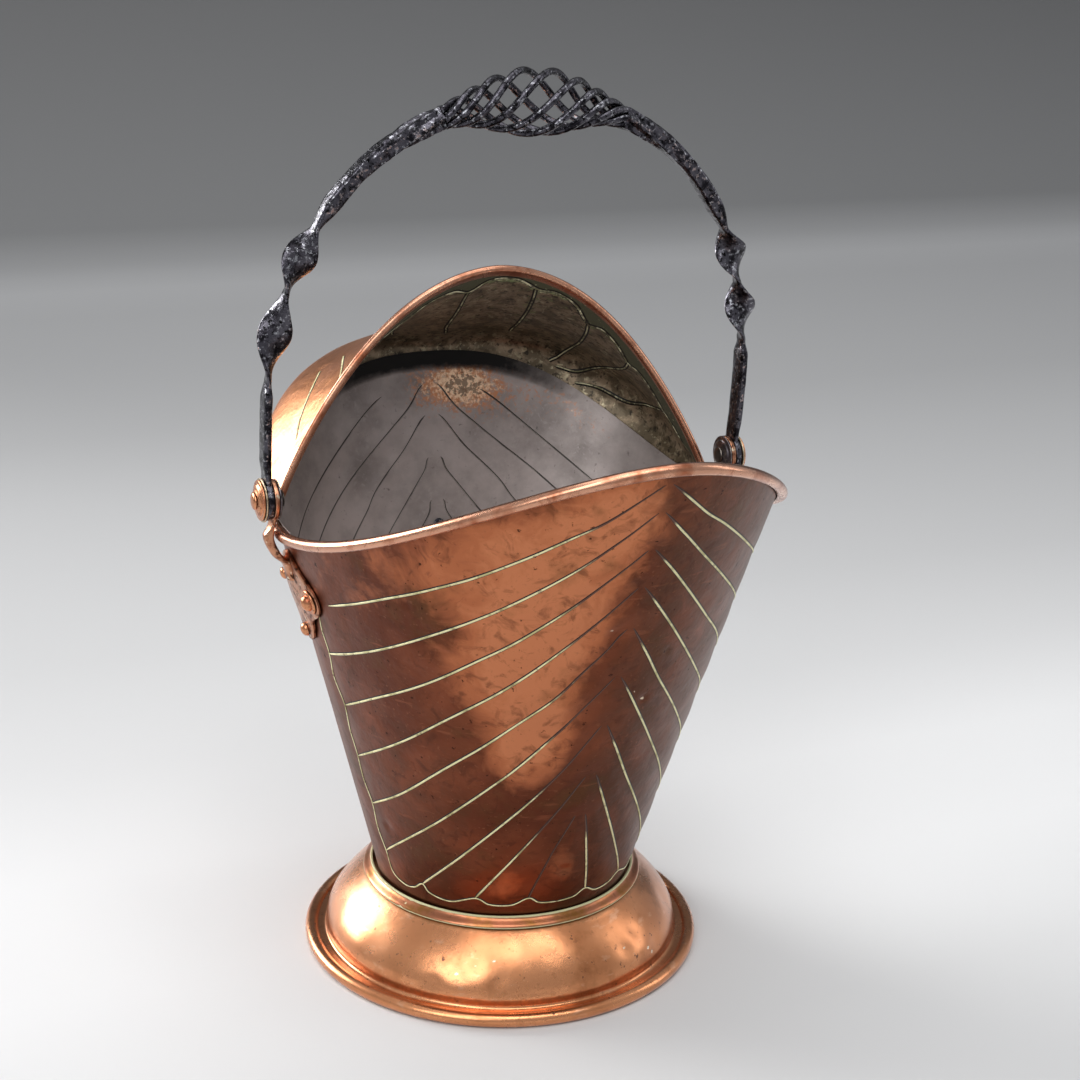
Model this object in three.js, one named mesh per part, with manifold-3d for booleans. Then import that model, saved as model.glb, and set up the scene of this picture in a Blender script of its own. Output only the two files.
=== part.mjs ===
// Copper coal scuttle of the helmet type: a spun foot, a bucket of two seamed sheets with a
// pouring lip, a hood over the back, and a wrought-iron bail with ribbon twists and a basket grip.
// Millimetres, +Z up, lip towards -Y, the bail's hinge line along X.
import * as THREE from 'three';
import { mergeVertices } from 'three/addons/utils/BufferGeometryUtils.js';
import Module from 'manifold-3d';

const wasm = await Module();
wasm.setup();

const DEG = Math.PI / 180;

// ---- sheet and fits ----
const gauge = 1.0; // copper sheet
const clearance = 0.3; // between pieces that touch
const holeClearance = 0.35; // round a pin or a rivet's shank

// ---- foot ----
const footRadius = 107;
const footBeadRadius = 3.6;
const footDomeRadius = 95;
const footNeckRadius = 73;
const footHeight = 38.4;
const footFlangeInner = 56;
const collarHeight = 5.2;
const collarReach = 5.6;
const collarGauge = 1.2;
const floorGauge = 1.2;

// ---- bucket ----
const bucketFootRadius = 67.7;
const mouthHalfWidth = 120.5;
const seamY = -8; // the side seams' place along Y, at the mouth
const lipReach = 168.5;
const backReach = 127;
const sideHeight = 241;
const lipRise = 68;
const lipRiseLinear = 0.27; // share of the rise that climbs evenly
const backRise = 57.5;
const lipRoundness = 1.886; // superellipse powers of the mouth's plan
const backRoundness = 2.45;
const lipBeadRadius = 3.0;
const frontLapAngle = 93.5; // the front sheet ends this far round from the lip
const backLapAngle = 90.3; // the back sheet starts here, inside the front one

// ---- hood ----
const hoodStartAngle = 94.6;
const hoodSkirt = 6;
const hoodRimHeight = 116;
const hoodRimY = 17.3;
const hoodRimSetback = 6;
const hoodRimBase = 3.4; // the rim's ends lie this far over the bucket's sides
const hoodPlanRoundness = 1.77;
const hoodArchRoundness = 1.63;
const hoodPinch = 0.096;
const hoodBackRise = 0.14;
const hoodCheekRise = 0.4;
const hoodUpShare = 0.8;
const hoodFlare = 0.58;
const hoodFlareSlope = 39;
const hoodFlareSpread = 0.4;
const hoodBeadRadius = 2.1;

// ---- hinge ----
const pivotY = -2;
const pivotRise = 17.5; // over the bucket's sides
const pinRadius = 3;
const pinHeadRadius = 4.4;
const pinHeadHeight = 1.3;
const bracketEyeReach = 4.3; // its inner face, outside the mouth's half width
const bracketEyeGauge = 2.2;
const bracketEyeRadius = 10;
const bailEyeGauge = 3.3;
const bailEyeRadius = 10.2;
const washerGauge = 0.8;
const washerRadius = 10.8;
const bossRadius = 10;
const bossHeight = 2.8;

// ---- bracket leaf ----
const leafDrop = 30; // its centre, under the bucket's sides
const leafGauge = 1.9;
const leafRib = 1.5;
const leafCore = 14;
const leafSideLobe = 12;
const leafLowerLobe = 13;
const leafNeckLobe = 3;
const sideRivetOffset = 19;
const lowerRivetDrop = 21;
const neckWidth = 8.5;
const rivetShankRadius = 1.7;
const rivetTailRadius = 3;

// ---- bail ----
const legStraight = 37;
const archHeight = 152.5;
const archRoundness = 2.22;
const bailLean = 5.2; // degrees towards the lip, as the bail stands
const legWidth = 10.6;
const legThickness = 4.3;
const waistWidth = 7;
const lobeWidth = 16.8;
const lobeThickness = 3.3;
const archWidth = 9.8;
const archThickness = 5;
const twistStops = { left: [60, 101, 133], right: [64, 95, 124] }; // start, waist and end over the hinge line
const basketRodCount = 6;
const basketRodRadius = 1.75;
const basketRodEndRadius = 1.2;
const basketRadius = 15; // to the rods' centres
const basketNeckRadius = 3.1;
const basketHalfLength = 47;
const basketShift = 1.5; // the hand-made basket sits a little to the right
const basketTurns = 1.35;
const basketBunching = 0.35;

// ---- rear handle ----
const handleHeight = 152;
const handleStandoff = 34;
const handleSpan = 42; // half its length
const handlePadLength = 16;
const handleThickness = 7.5;
const handlePadGauge = 2.6;
const handlePadWidth = 13;
const handleRivetOffset = 52;

const finishes = {
  copper: new THREE.MeshStandardMaterial({ color: 0x8a4a32, roughness: 0.38, metalness: 1 }),
  brightCopper: new THREE.MeshStandardMaterial({ color: 0xb8683c, roughness: 0.25, metalness: 1 }),
  brass: new THREE.MeshStandardMaterial({ color: 0xb9a06a, roughness: 0.4, metalness: 1 }),
  iron: new THREE.MeshStandardMaterial({ color: 0x1d1c1e, roughness: 0.45, metalness: 0.9 }),
  wire: new THREE.MeshStandardMaterial({ color: 0x6f6f70, roughness: 0.5, metalness: 0.9 }),
};

const scuttle = new THREE.Group();

// ---------------------------------------------------------------- solids

const vec = (x, y, z) => new THREE.Vector3(x, y, z);
const steps = (from, to, count) => Array.from({ length: count + 1 }, (_, i) => from + (to - from) * i / count);
const signedPower = (value, power) => Math.sign(value) * Math.abs(value) ** power;
const smooth = (t) => THREE.MathUtils.smoothstep(t, 0, 1);

function signedVolume(positions, index) {
  const corner = (k) => vec(...positions.slice(3 * index[k], 3 * index[k] + 3));
  let total = 0;
  for (let k = 0; k < index.length; k += 3) {
    total += corner(k).dot(corner(k + 1).cross(corner(k + 2))) / 6;
  }
  return total;
}

function closedBody(points, index) {
  const positions = points.flatMap((p) => [p.x, p.y, p.z]);
  if (signedVolume(positions, index) < 0) {
    index.reverse();
  }
  const geometry = new THREE.BufferGeometry();
  geometry.setAttribute('position', new THREE.Float32BufferAttribute(positions, 3));
  geometry.setIndex(index);
  return geometry;
}

// Triangles of one end ring, flattened on the plane of its own area vector.
function capTriangles(ring) {
  const area = vec(0, 0, 0);
  ring.forEach((p, i) => area.add(p.clone().cross(ring[(i + 1) % ring.length])));
  area.normalize();
  const across = ring[1].clone().sub(ring[0]).projectOnPlane(area).normalize();
  const along = area.clone().cross(across);
  const flat = ring.map((p) => new THREE.Vector2(p.dot(across), p.dot(along)));
  return THREE.ShapeUtils.triangulateShape(flat, []);
}

// One solid through a row of closed rings, with its two ends capped.
function loft(rings) {
  const size = rings[0].length;
  const index = [];
  for (let i = 0; i + 1 < rings.length; i += 1) {
    for (let j = 0; j < size; j += 1) {
      const a = i * size + j;
      const b = i * size + (j + 1) % size;
      index.push(a, b, b + size, a, b + size, a + size);
    }
  }
  const last = (rings.length - 1) * size;
  capTriangles(rings[0]).forEach(([a, b, c]) => index.push(a, c, b));
  capTriangles(rings.at(-1)).forEach(([a, b, c]) => index.push(last + a, last + b, last + c));
  return closedBody(rings.flat(), index);
}

// One solid of revolution about Z from a closed outline of [radius, height] points.
function revolve(outline, segments) {
  const profile = [...outline, outline[0]].map(([r, z]) => new THREE.Vector2(r, z));
  const turned = new THREE.LatheGeometry(profile, segments).rotateX(Math.PI / 2);
  turned.deleteAttribute('normal');
  turned.deleteAttribute('uv');
  const merged = mergeVertices(turned, 1e-4);
  const corners = merged.getIndex().array;
  const index = [];
  for (let k = 0; k < corners.length; k += 3) {
    const [a, b, c] = corners.slice(k, k + 3);
    if (a !== b && b !== c && c !== a) {
      index.push(a, b, c);
    }
  }
  const place = merged.getAttribute('position');
  const points = Array.from({ length: place.count }, (_, i) => vec(place.getX(i), place.getY(i), place.getZ(i)));
  return closedBody(points, index);
}

// Both faces of a sheet that follows a path of [across, up] points: a closed outline, mitred.
function sheetOutline(path, thickness) {
  const sides = path.map(([x, y], i) => {
    const before = path[Math.max(i - 1, 0)];
    const after = path[Math.min(i + 1, path.length - 1)];
    const into = new THREE.Vector2(x - before[0], y - before[1]).normalize();
    const out = new THREE.Vector2(after[0] - x, after[1] - y).normalize();
    if (i === 0) {
      into.copy(out);
    }
    if (i === path.length - 1) {
      out.copy(into);
    }
    const normal = new THREE.Vector2(-into.y - out.y, into.x + out.x).normalize();
    const reach = thickness / 2 / normal.dot(new THREE.Vector2(-into.y, into.x));
    return normal.multiplyScalar(reach);
  });
  const left = path.map(([x, y], i) => [x + sides[i].x, y + sides[i].y]);
  const right = path.map(([x, y], i) => [x - sides[i].x, y - sides[i].y]);
  return [...left, ...right.reverse()];
}

function manifoldOf(geometry) {
  const vertProperties = new Float32Array(geometry.getAttribute('position').array);
  const triVerts = new Uint32Array(geometry.getIndex().array);
  return new wasm.Manifold(new wasm.Mesh({ numProp: 3, vertProperties, triVerts }));
}

function geometryOf(manifold) {
  const mesh = manifold.getMesh();
  const geometry = new THREE.BufferGeometry();
  geometry.setAttribute('position', new THREE.BufferAttribute(mesh.vertProperties, 3));
  geometry.setIndex(new THREE.BufferAttribute(mesh.triVerts, 1));
  return geometry;
}

const joined = (...solids) => geometryOf(solids.map(manifoldOf).reduce((sum, solid) => sum.add(solid)));
const cut = (solid, ...tools) => geometryOf(tools.map(manifoldOf).reduce((rest, t) => rest.subtract(t), manifoldOf(solid)));

// A turned solid moved so that its own +Z points along the axis given, from the place given.
function aimed(geometry, place, axis) {
  const turn = new THREE.Quaternion().setFromUnitVectors(vec(0, 0, 1), axis);
  return geometry.clone().applyQuaternion(turn).translate(place.x, place.y, place.z);
}

const disc = (radius, from, to, segments) => revolve([[0, from], [radius, from], [radius, to], [0, to]], segments);

function addPiece(name, geometry, finish, parent = scuttle) {
  const piece = new THREE.Mesh(geometry, finish);
  piece.name = name;
  parent.add(piece);
}

// ---------------------------------------------------------------- bucket surface

// The mouth's edge at an angle from the lip: a superellipse in plan for each half. The lip half
// climbs towards the spout, and the back half climbs to the hood's seam.
function mouthEdge(angle) {
  const front = Math.max(Math.cos(angle), 0);
  const back = Math.max(-Math.cos(angle), 0);
  const roundness = back > 0 ? backRoundness : lipRoundness;
  const forward = front ** (2 / lipRoundness);
  const lift = lipRise * (lipRiseLinear * forward + (1 - lipRiseLinear) * forward ** 2) + backRise * back ** 2;
  return vec(
    mouthHalfWidth * signedPower(Math.sin(angle), 2 / roundness),
    seamY - lipReach * forward + backReach * back ** (2 / backRoundness),
    sideHeight + lift,
  );
}

const pivotHeight = sideHeight + pivotRise;
const leafHeight = sideHeight - leafDrop;

const bucketFoot = (angle) => vec(
  bucketFootRadius * Math.sin(angle),
  -bucketFootRadius * Math.cos(angle),
  footHeight + clearance,
);

// The outer face: straight lines from the bucket's round foot up to the mouth's edge.
const wall = (angle, rise) => bucketFoot(angle).lerp(mouthEdge(angle), rise);

function surfaceNormal(surface, u, v) {
  const small = 1e-3;
  const alongU = surface(u + small, v).sub(surface(u - small, v));
  const alongV = surface(u, v + small).sub(surface(u, v - small));
  return alongU.cross(alongV).normalize();
}

const wallNormal = (angle, rise) => surfaceNormal(wall, angle, rise);
const offsetWall = (angle, rise, offset) => wall(angle, rise).addScaledVector(wallNormal(angle, rise), offset);

// A sheet's edge rolled outwards round a wire. The ring runs up the inner face, round the bead
// and down the outer face; the edge's own directions are up the sheet and out of it.
function rolledEdge(edge, up, out, beadRadius, count) {
  const centre = edge.clone().addScaledVector(out, beadRadius - gauge);
  const arc = (radius, from, to) => steps(from, to, count).map((degrees) => centre.clone()
    .addScaledVector(out, radius * Math.cos(degrees * DEG))
    .addScaledVector(up, radius * Math.sin(degrees * DEG)));
  return [...arc(beadRadius, 180, -115), ...arc(beadRadius - gauge, -115, 180)];
}

const wireRadius = (beadRadius) => (beadRadius - gauge) * 0.93 - clearance;
const beadCentre = (edge, out, beadRadius) => edge.clone().addScaledVector(out, beadRadius - gauge);

// A round wire through a row of places, each with the two directions across it.
function wireThrough(stations, radius, sides) {
  return loft(stations.map(({ place, across, up }) => steps(0, 360, sides).slice(0, -1).map((degrees) => place.clone()
    .addScaledVector(across, radius * Math.cos(degrees * DEG))
    .addScaledVector(up, radius * Math.sin(degrees * DEG)))));
}

// ---------------------------------------------------------------- bucket sheets

// Sheets that lap share their stations there, so that their facets stay parallel.
const radians = (degrees) => degrees * DEG;
const lapAngles = steps(backLapAngle, frontLapAngle, 2).map(radians);
const hoodAngles = steps(hoodStartAngle, 360 - hoodStartAngle, 32).map(radians);
const frontAngles = [
  ...lapAngles.map((angle) => -angle).reverse(),
  ...steps(4 - backLapAngle, backLapAngle - 4, 34).map(radians),
  ...lapAngles,
];
const backAngles = [
  ...lapAngles,
  ...hoodAngles,
  ...lapAngles.map((angle) => 2 * Math.PI - angle).reverse(),
];

function edgeFrame(angle) {
  const out = wallNormal(angle, 1);
  const up = mouthEdge(angle).sub(bucketFoot(angle)).projectOnPlane(out).normalize();
  return { edge: mouthEdge(angle), out, up };
}

function frontSheet() {
  const rings = frontAngles.map((angle) => {
    const { edge, out, up } = edgeFrame(angle);
    return [
      offsetWall(angle, 0, -gauge),
      ...rolledEdge(edge, up, out, lipBeadRadius, 7),
      offsetWall(angle, 0, 0),
    ];
  });
  return loft(rings);
}

function lipWire() {
  const stations = frontAngles.map((angle) => {
    const { edge, out, up } = edgeFrame(angle);
    return { place: beadCentre(edge, out, lipBeadRadius), across: out, up };
  });
  return wireThrough(stations, wireRadius(lipBeadRadius), 6);
}

function backSheet() {
  const outside = -gauge - clearance;
  const inside = outside - gauge;
  return loft(backAngles.map((angle) => [
    offsetWall(angle, 0, inside),
    offsetWall(angle, 1, inside),
    offsetWall(angle, 1, outside),
    offsetWall(angle, 0, outside),
  ]));
}

// ---------------------------------------------------------------- hood

// The hood's free rim, standing as an arch over the bucket's middle.
function hoodRim(angle) {
  const side = Math.abs(Math.sin(angle));
  const height = Math.max(-Math.cos(angle), 0);
  const pinch = 1 - hoodPinch * Math.sin(2 * Math.atan2(height, side));
  return vec(
    Math.sign(Math.sin(angle)) * mouthHalfWidth * side ** (2 / hoodPlanRoundness) * pinch,
    hoodRimY - hoodRimSetback * (1 - height) ** 2,
    sideHeight + hoodRimBase + hoodRimHeight * height ** (2 / hoodArchRoundness),
  );
}

// From the seam the hood leaves along the bucket's wall and flares into the rim: a cubic curve.
function hoodFace(angle, rise) {
  const foot = mouthEdge(angle);
  const rim = hoodRim(angle);
  const wallLine = foot.clone().sub(bucketFoot(angle)).normalize();
  if (rise < 0) {
    return foot.addScaledVector(wallLine, rise * hoodSkirt);
  }
  const span = foot.distanceTo(rim);
  const start = span * (hoodBackRise + hoodCheekRise * Math.abs(Math.sin(angle)));
  const leave = wallLine.multiplyScalar(hoodUpShare)
    .add(vec(Math.sin(angle), -Math.cos(angle), 0).multiplyScalar(1 - hoodUpShare));
  const slope = hoodFlareSlope * DEG;
  const arrive = vec(hoodFlareSpread * Math.sin(angle), Math.cos(slope), -Math.sin(slope)).normalize();
  return new THREE.CubicBezierCurve3(
    foot,
    foot.clone().addScaledVector(leave, start),
    rim.clone().addScaledVector(arrive, span * hoodFlare),
    rim,
  ).getPoint(rise);
}

function hoodNormal(angle, rise) {
  const small = 1e-3;
  const v = THREE.MathUtils.clamp(rise, small, 1 - small);
  return rise < 0 ? wallNormal(angle, 1) : surfaceNormal(hoodFace, angle, v);
}

function hoodFrame(angle) {
  const out = hoodNormal(angle, 1);
  const up = hoodFace(angle, 1).sub(hoodFace(angle, 0.98)).projectOnPlane(out).normalize();
  return { edge: hoodRim(angle), out, up };
}

function hoodSheet() {
  const rises = [-1, -0.05, ...steps(0.09, 0.92, 6)];
  const rings = hoodAngles.map((angle) => {
    const { edge, out, up } = hoodFrame(angle);
    const outer = rises.map((rise) => hoodFace(angle, rise));
    const inner = rises.map((rise, i) => outer[i].clone().addScaledVector(hoodNormal(angle, rise), -gauge));
    return [...inner, ...rolledEdge(edge, up, out, hoodBeadRadius, 5), ...outer.reverse()];
  });
  return loft(rings);
}

function hoodWire() {
  const stations = hoodAngles.map((angle) => {
    const { edge, out, up } = hoodFrame(angle);
    return { place: beadCentre(edge, out, hoodBeadRadius), across: out, up };
  });
  return wireThrough(stations, wireRadius(hoodBeadRadius), 6);
}

// ---------------------------------------------------------------- foot

const footSegments = 36;
const footBeadCentre = footRadius - footBeadRadius;
const footBeadMid = footBeadRadius - gauge / 2;
const footFlatHalfAngle = 24; // half the angle of the bead that is pressed flat underneath
const footBeadHeight = footBeadMid * Math.cos(footFlatHalfAngle * DEG) + gauge / 2;

const footBeadPoint = (degrees) => [
  footBeadCentre + footBeadMid * Math.cos(degrees * DEG),
  footBeadHeight + footBeadMid * Math.sin(degrees * DEG),
];

// The dome in section: a quarter of a superellipse from the neck down to the undercut.
function footDome(degrees) {
  const fall = Math.sin(degrees * DEG) ** 1.1;
  const spread = (1 - Math.cos(degrees * DEG)) ** 0.62;
  const top = footHeight - gauge / 2;
  const low = footBeadHeight + footBeadRadius + 2;
  return [footDomeRadius - (footDomeRadius - footNeckRadius) * (1 - fall), top - (top - low) * spread];
}

function footSheet() {
  const flange = footBeadPoint(160)[1];
  const path = [
    [footFlangeInner, footHeight - gauge / 2],
    ...steps(0, 90, 7).map(footDome),
    [footDomeRadius - 0.3, flange + 1.4],
    [footDomeRadius + 1.8, flange],
    ...steps(160, footFlatHalfAngle - 90, 7).map(footBeadPoint),
    ...steps(-footFlatHalfAngle - 90, -165, 1).map(footBeadPoint),
  ];
  return revolve(sheetOutline(path, gauge), footSegments);
}

function footWire() {
  const radius = (footBeadRadius - gauge) * Math.cos(footFlatHalfAngle * DEG) - clearance;
  const outline = steps(0, 360, 6).slice(0, -1).map((degrees) => [
    footBeadCentre + radius * Math.cos(degrees * DEG),
    footBeadHeight + radius * Math.sin(degrees * DEG),
  ]);
  return revolve(outline, footSegments);
}

// The slanting strip that covers the joint of bucket and foot.
function collarStrip() {
  const lowRadius = bucketFootRadius + collarReach + 2;
  const highRadius = bucketFootRadius + 2.6;
  const low = footHeight + clearance;
  const outline = [
    [highRadius, low + collarHeight],
    [highRadius, low + collarHeight - collarGauge],
    [lowRadius - collarGauge, low],
    [lowRadius, low],
    [lowRadius - 0.6, low + collarHeight * 0.35],
    [highRadius + collarGauge, low + collarHeight - 0.3],
  ];
  return revolve(outline, footSegments);
}

function floorPlate() {
  const radius = bucketFootRadius - 2 * (gauge + clearance) - 0.6;
  const low = footHeight + clearance;
  return disc(radius, low, low + floorGauge, footSegments);
}

// ---------------------------------------------------------------- brackets and rivets

// The wall's angle and rise at a place on one side, found by Newton's method from its Y and Z.
function findOnWall(side, y, z) {
  let angle = side * 90 * DEG;
  let rise = (z - footHeight) / (sideHeight - footHeight);
  const small = 1e-3;
  for (let round = 0; round < 12; round += 1) {
    const here = wall(angle, rise);
    const turned = wall(angle + small, rise).sub(here).divideScalar(small);
    const raised = wall(angle, rise + small).sub(here).divideScalar(small);
    const missY = y - here.y;
    const missZ = z - here.z;
    const determinant = turned.y * raised.z - raised.y * turned.z;
    angle += THREE.MathUtils.clamp((missY * raised.z - missZ * raised.y) / determinant, -0.2, 0.2);
    rise += (turned.y * missZ - turned.z * missY) / determinant;
  }
  return [angle, rise];
}

function onWall(side, y, z, offset) {
  const [angle, rise] = findOnWall(side, y, z);
  return offsetWall(angle, rise, offset);
}

const leafRadius = (turn) => leafCore
  + leafSideLobe * Math.abs(Math.cos(turn)) ** 5
  + leafLowerLobe * Math.max(-Math.sin(turn), 0) ** 5
  + leafNeckLobe * Math.max(Math.sin(turn), 0) ** 3;

// The leaf lies on the wall: a polar grid whose back follows the wall and whose face has a rib.
function leafPad(side) {
  const around = 32;
  const shares = [1, 0.6, 0.2];
  const back = clearance;
  const place = (share, k, offset) => {
    const turn = 2 * Math.PI * k / around;
    const reach = share * leafRadius(turn);
    return onWall(side, pivotY + reach * Math.cos(turn), leafHeight + reach * Math.sin(turn), offset);
  };
  const turns = steps(0, around, around).slice(0, -1);
  const rings = [
    ...[...shares].reverse().map((share) => turns.map((k) => place(share, k, back))),
    ...shares.map((share) => turns.map((k) => place(share, k, back + leafGauge + leafRib * (1 - share) ** 2))),
  ];
  return loft(rings);
}

const bracketEyeInside = mouthHalfWidth + bracketEyeReach;
const stackFace = {
  bracketInside: bracketEyeInside,
  bracketOutside: bracketEyeInside + bracketEyeGauge,
  bailInside: bracketEyeInside + bracketEyeGauge + clearance,
};
stackFace.bailOutside = stackFace.bailInside + bailEyeGauge;
stackFace.washerInside = stackFace.bailOutside + clearance;
stackFace.bossInside = stackFace.washerInside + washerGauge + clearance;
stackFace.bossOutside = stackFace.bossInside + bossHeight;

// The neck comes down from the eye, passes outside the rolled lip and lands on the leaf.
function bracketNeck(side) {
  const eyeMiddle = bracketEyeInside + bracketEyeGauge / 2;
  const half = bracketEyeGauge / 2;
  const onSheet = (z) => Math.abs(onWall(side, pivotY, z, clearance * 1.5).x) + half;
  const pastBead = mouthHalfWidth + 2 * lipBeadRadius - gauge + clearance + half;
  const stops = [
    [eyeMiddle, pivotHeight - bracketEyeRadius * 0.6, neckWidth],
    [eyeMiddle, pivotHeight - bracketEyeRadius, neckWidth * 0.9],
    [pastBead, sideHeight + lipBeadRadius, neckWidth * 0.85],
    [pastBead, sideHeight - lipBeadRadius, neckWidth * 0.85],
    [(pastBead + onSheet(sideHeight - 11)) / 2, sideHeight - 11, neckWidth],
    [onSheet(leafHeight + 14), leafHeight + 14, neckWidth * 1.2],
    [onSheet(leafHeight + 6), leafHeight + 6, neckWidth],
  ];
  return loft(stops.map(([x, z, width]) => [
    vec(side * (x - half), pivotY - width / 2, z),
    vec(side * (x + half * 0.4), pivotY - width / 2, z),
    vec(side * (x + half), pivotY - width / 5, z),
    vec(side * (x + half), pivotY + width / 5, z),
    vec(side * (x + half * 0.4), pivotY + width / 2, z),
    vec(side * (x - half), pivotY + width / 2, z),
  ]));
}

const pivotAt = (side, x) => vec(side * x, pivotY, pivotHeight);
const sideways = (side) => vec(side, 0, 0);

// A solid turned about the hinge line, from heights that are distances from the middle.
const onPivot = (side, geometry) => aimed(geometry, pivotAt(side, 0), sideways(side));

const rivets = [
  { name: 'front', y: pivotY - sideRivetOffset, z: leafHeight, headRadius: 4.2, headHeight: 3.2, ring: 6.4 },
  { name: 'rear', y: pivotY + sideRivetOffset, z: leafHeight + 3, headRadius: 3.2, headHeight: 2.2, ring: 0 },
  { name: 'lower', y: pivotY, z: leafHeight - lowerRivetDrop, headRadius: 3.6, headHeight: 2.8, ring: 0 },
];

function bracket(side) {
  const eye = onPivot(side, disc(bracketEyeRadius, stackFace.bracketInside, stackFace.bracketOutside, 20));
  const pinHole = onPivot(side, disc(pinRadius + holeClearance, bracketEyeInside - 5, stackFace.bracketOutside + 5, 16));
  const holes = rivets.map(({ y, z }) => rivetHole(side, y, z));
  return cut(joined(eye, bracketNeck(side), leafPad(side)), pinHole, ...holes);
}

function wallAxis(side, y, z) {
  const [angle, rise] = findOnWall(side, y, z);
  return { place: wall(angle, rise), axis: wallNormal(angle, rise) };
}

function rivetHole(side, y, z) {
  const { place, axis } = wallAxis(side, y, z);
  return aimed(disc(rivetShankRadius + holeClearance, -8, 8, 12), place, axis);
}

// A rivet in section, up its own axis from the wall's outer face: tail, shank, ring and dome.
function rivetBody({ headRadius, headHeight, ring }, seat, tail) {
  const dome = steps(0, 90, 3).map((degrees) => [
    headRadius * Math.cos(degrees * DEG),
    seat + (ring > 0 ? 1 : 0) + headHeight * Math.sin(degrees * DEG),
  ]);
  const washer = ring > 0 ? [[ring, seat], [ring, seat + 0.6], [ring - 0.6, seat + 1]] : [];
  const outline = [
    [0, tail - 1.1],
    [rivetTailRadius * 0.6, tail - 1.0],
    [rivetTailRadius, tail],
    [rivetShankRadius, tail],
    [rivetShankRadius, seat],
    ...washer,
    ...dome.slice(0, -1),
    [0, dome.at(-1)[1]],
  ];
  return revolve(outline, 12);
}

// The wall is hollow inside, so the tails stand off a little more than elsewhere.
const tailGap = clearance * 1.5;
const insideFace = { front: -gauge, rear: -2 * gauge - clearance, lower: -2 * gauge - clearance };

function addRivets(side, label) {
  rivets.forEach((rivet) => {
    const { place, axis } = wallAxis(side, rivet.y, rivet.z);
    const seat = clearance + tailGap + leafGauge;
    const tail = insideFace[rivet.name] - tailGap;
    addPiece(`${label}_${rivet.name}_rivet`, aimed(rivetBody(rivet, seat, tail), place, axis), finishes.brightCopper);
  });
}

// ---------------------------------------------------------------- hinge

const bossSegments = 20;

// A stepped cap, bored for the pin: rings and a dome between its seat and its top.
function steppedBoss(seat, outwards) {
  const bore = pinRadius + holeClearance;
  const rise = (share) => seat + outwards * bossHeight * share;
  return [
    [bore, rise(0)],
    [bossRadius, rise(0)],
    [bossRadius, rise(0.25)],
    [bossRadius * 0.9, rise(0.34)],
    [bossRadius * 0.82, rise(0.34)],
    [bossRadius * 0.74, rise(0.62)],
    [bossRadius * 0.56, rise(0.8)],
    [pinHeadRadius * 0.9, rise(1)],
    [bore, rise(1)],
  ];
}

// The pin has a peened dome at each end, past the two caps.
function pivotPin(from, to) {
  const dome = (end, outwards) => steps(0, 90, 3).slice(0, -1).map((degrees) => [
    pinHeadRadius * Math.cos(degrees * DEG),
    end + outwards * pinHeadHeight * Math.sin(degrees * DEG),
  ]);
  const outline = [
    [0, from - pinHeadHeight],
    ...dome(from, -1).reverse(),
    [pinRadius, from],
    [pinRadius, to],
    ...dome(to, 1),
    [0, to + pinHeadHeight],
  ];
  return revolve(outline, 16);
}

function addHinge(side, label) {
  const innerSeat = stackFace.bracketInside - clearance;
  const washer = [
    [pinRadius + holeClearance, stackFace.washerInside],
    [washerRadius, stackFace.washerInside],
    [washerRadius, stackFace.washerInside + washerGauge],
    [pinRadius + holeClearance, stackFace.washerInside + washerGauge],
  ];
  const pin = pivotPin(innerSeat - bossHeight - clearance, stackFace.bossOutside + clearance);
  addPiece(`${label}_pivot_pin`, onPivot(side, pin), finishes.brightCopper);
  addPiece(`${label}_inner_boss`, onPivot(side, revolve(steppedBoss(innerSeat, -1), bossSegments)), finishes.iron);
  addPiece(`${label}_pivot_washer`, onPivot(side, revolve(washer, bossSegments)), finishes.brass);
  addPiece(`${label}_outer_boss`, onPivot(side, revolve(steppedBoss(stackFace.bossInside, 1), bossSegments)), finishes.brightCopper);
}

// ---------------------------------------------------------------- bail

const bail = new THREE.Group();
bail.position.set(0, pivotY, pivotHeight);
bail.rotation.x = bailLean * DEG;
scuttle.add(bail);

const archHalfSpan = stackFace.bailInside + legThickness / 2;

// The arch over the legs, a half superellipse standing on the hinge line's middle.
const archPoint = (turn) => vec(
  archHalfSpan * signedPower(Math.cos(turn), 2 / archRoundness),
  0,
  legStraight + archHeight * Math.sin(turn) ** (2 / archRoundness),
);

function archTurnAt(x) {
  const cosine = signedPower(x / archHalfSpan, archRoundness / 2);
  return Math.acos(THREE.MathUtils.clamp(cosine, -1, 1));
}

const archHeightAt = (x) => archPoint(archTurnAt(x)).z;

// How far the ribbon has turned at a height over the hinge line: half a turn to its waist, a
// whole one at its end.
function turnShare([start, waist, end], height) {
  const share = height < waist
    ? (height - start) / (waist - start) / 2
    : 0.5 + (height - waist) / (end - waist) / 2;
  return THREE.MathUtils.clamp(share, 0, 1);
}

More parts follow.
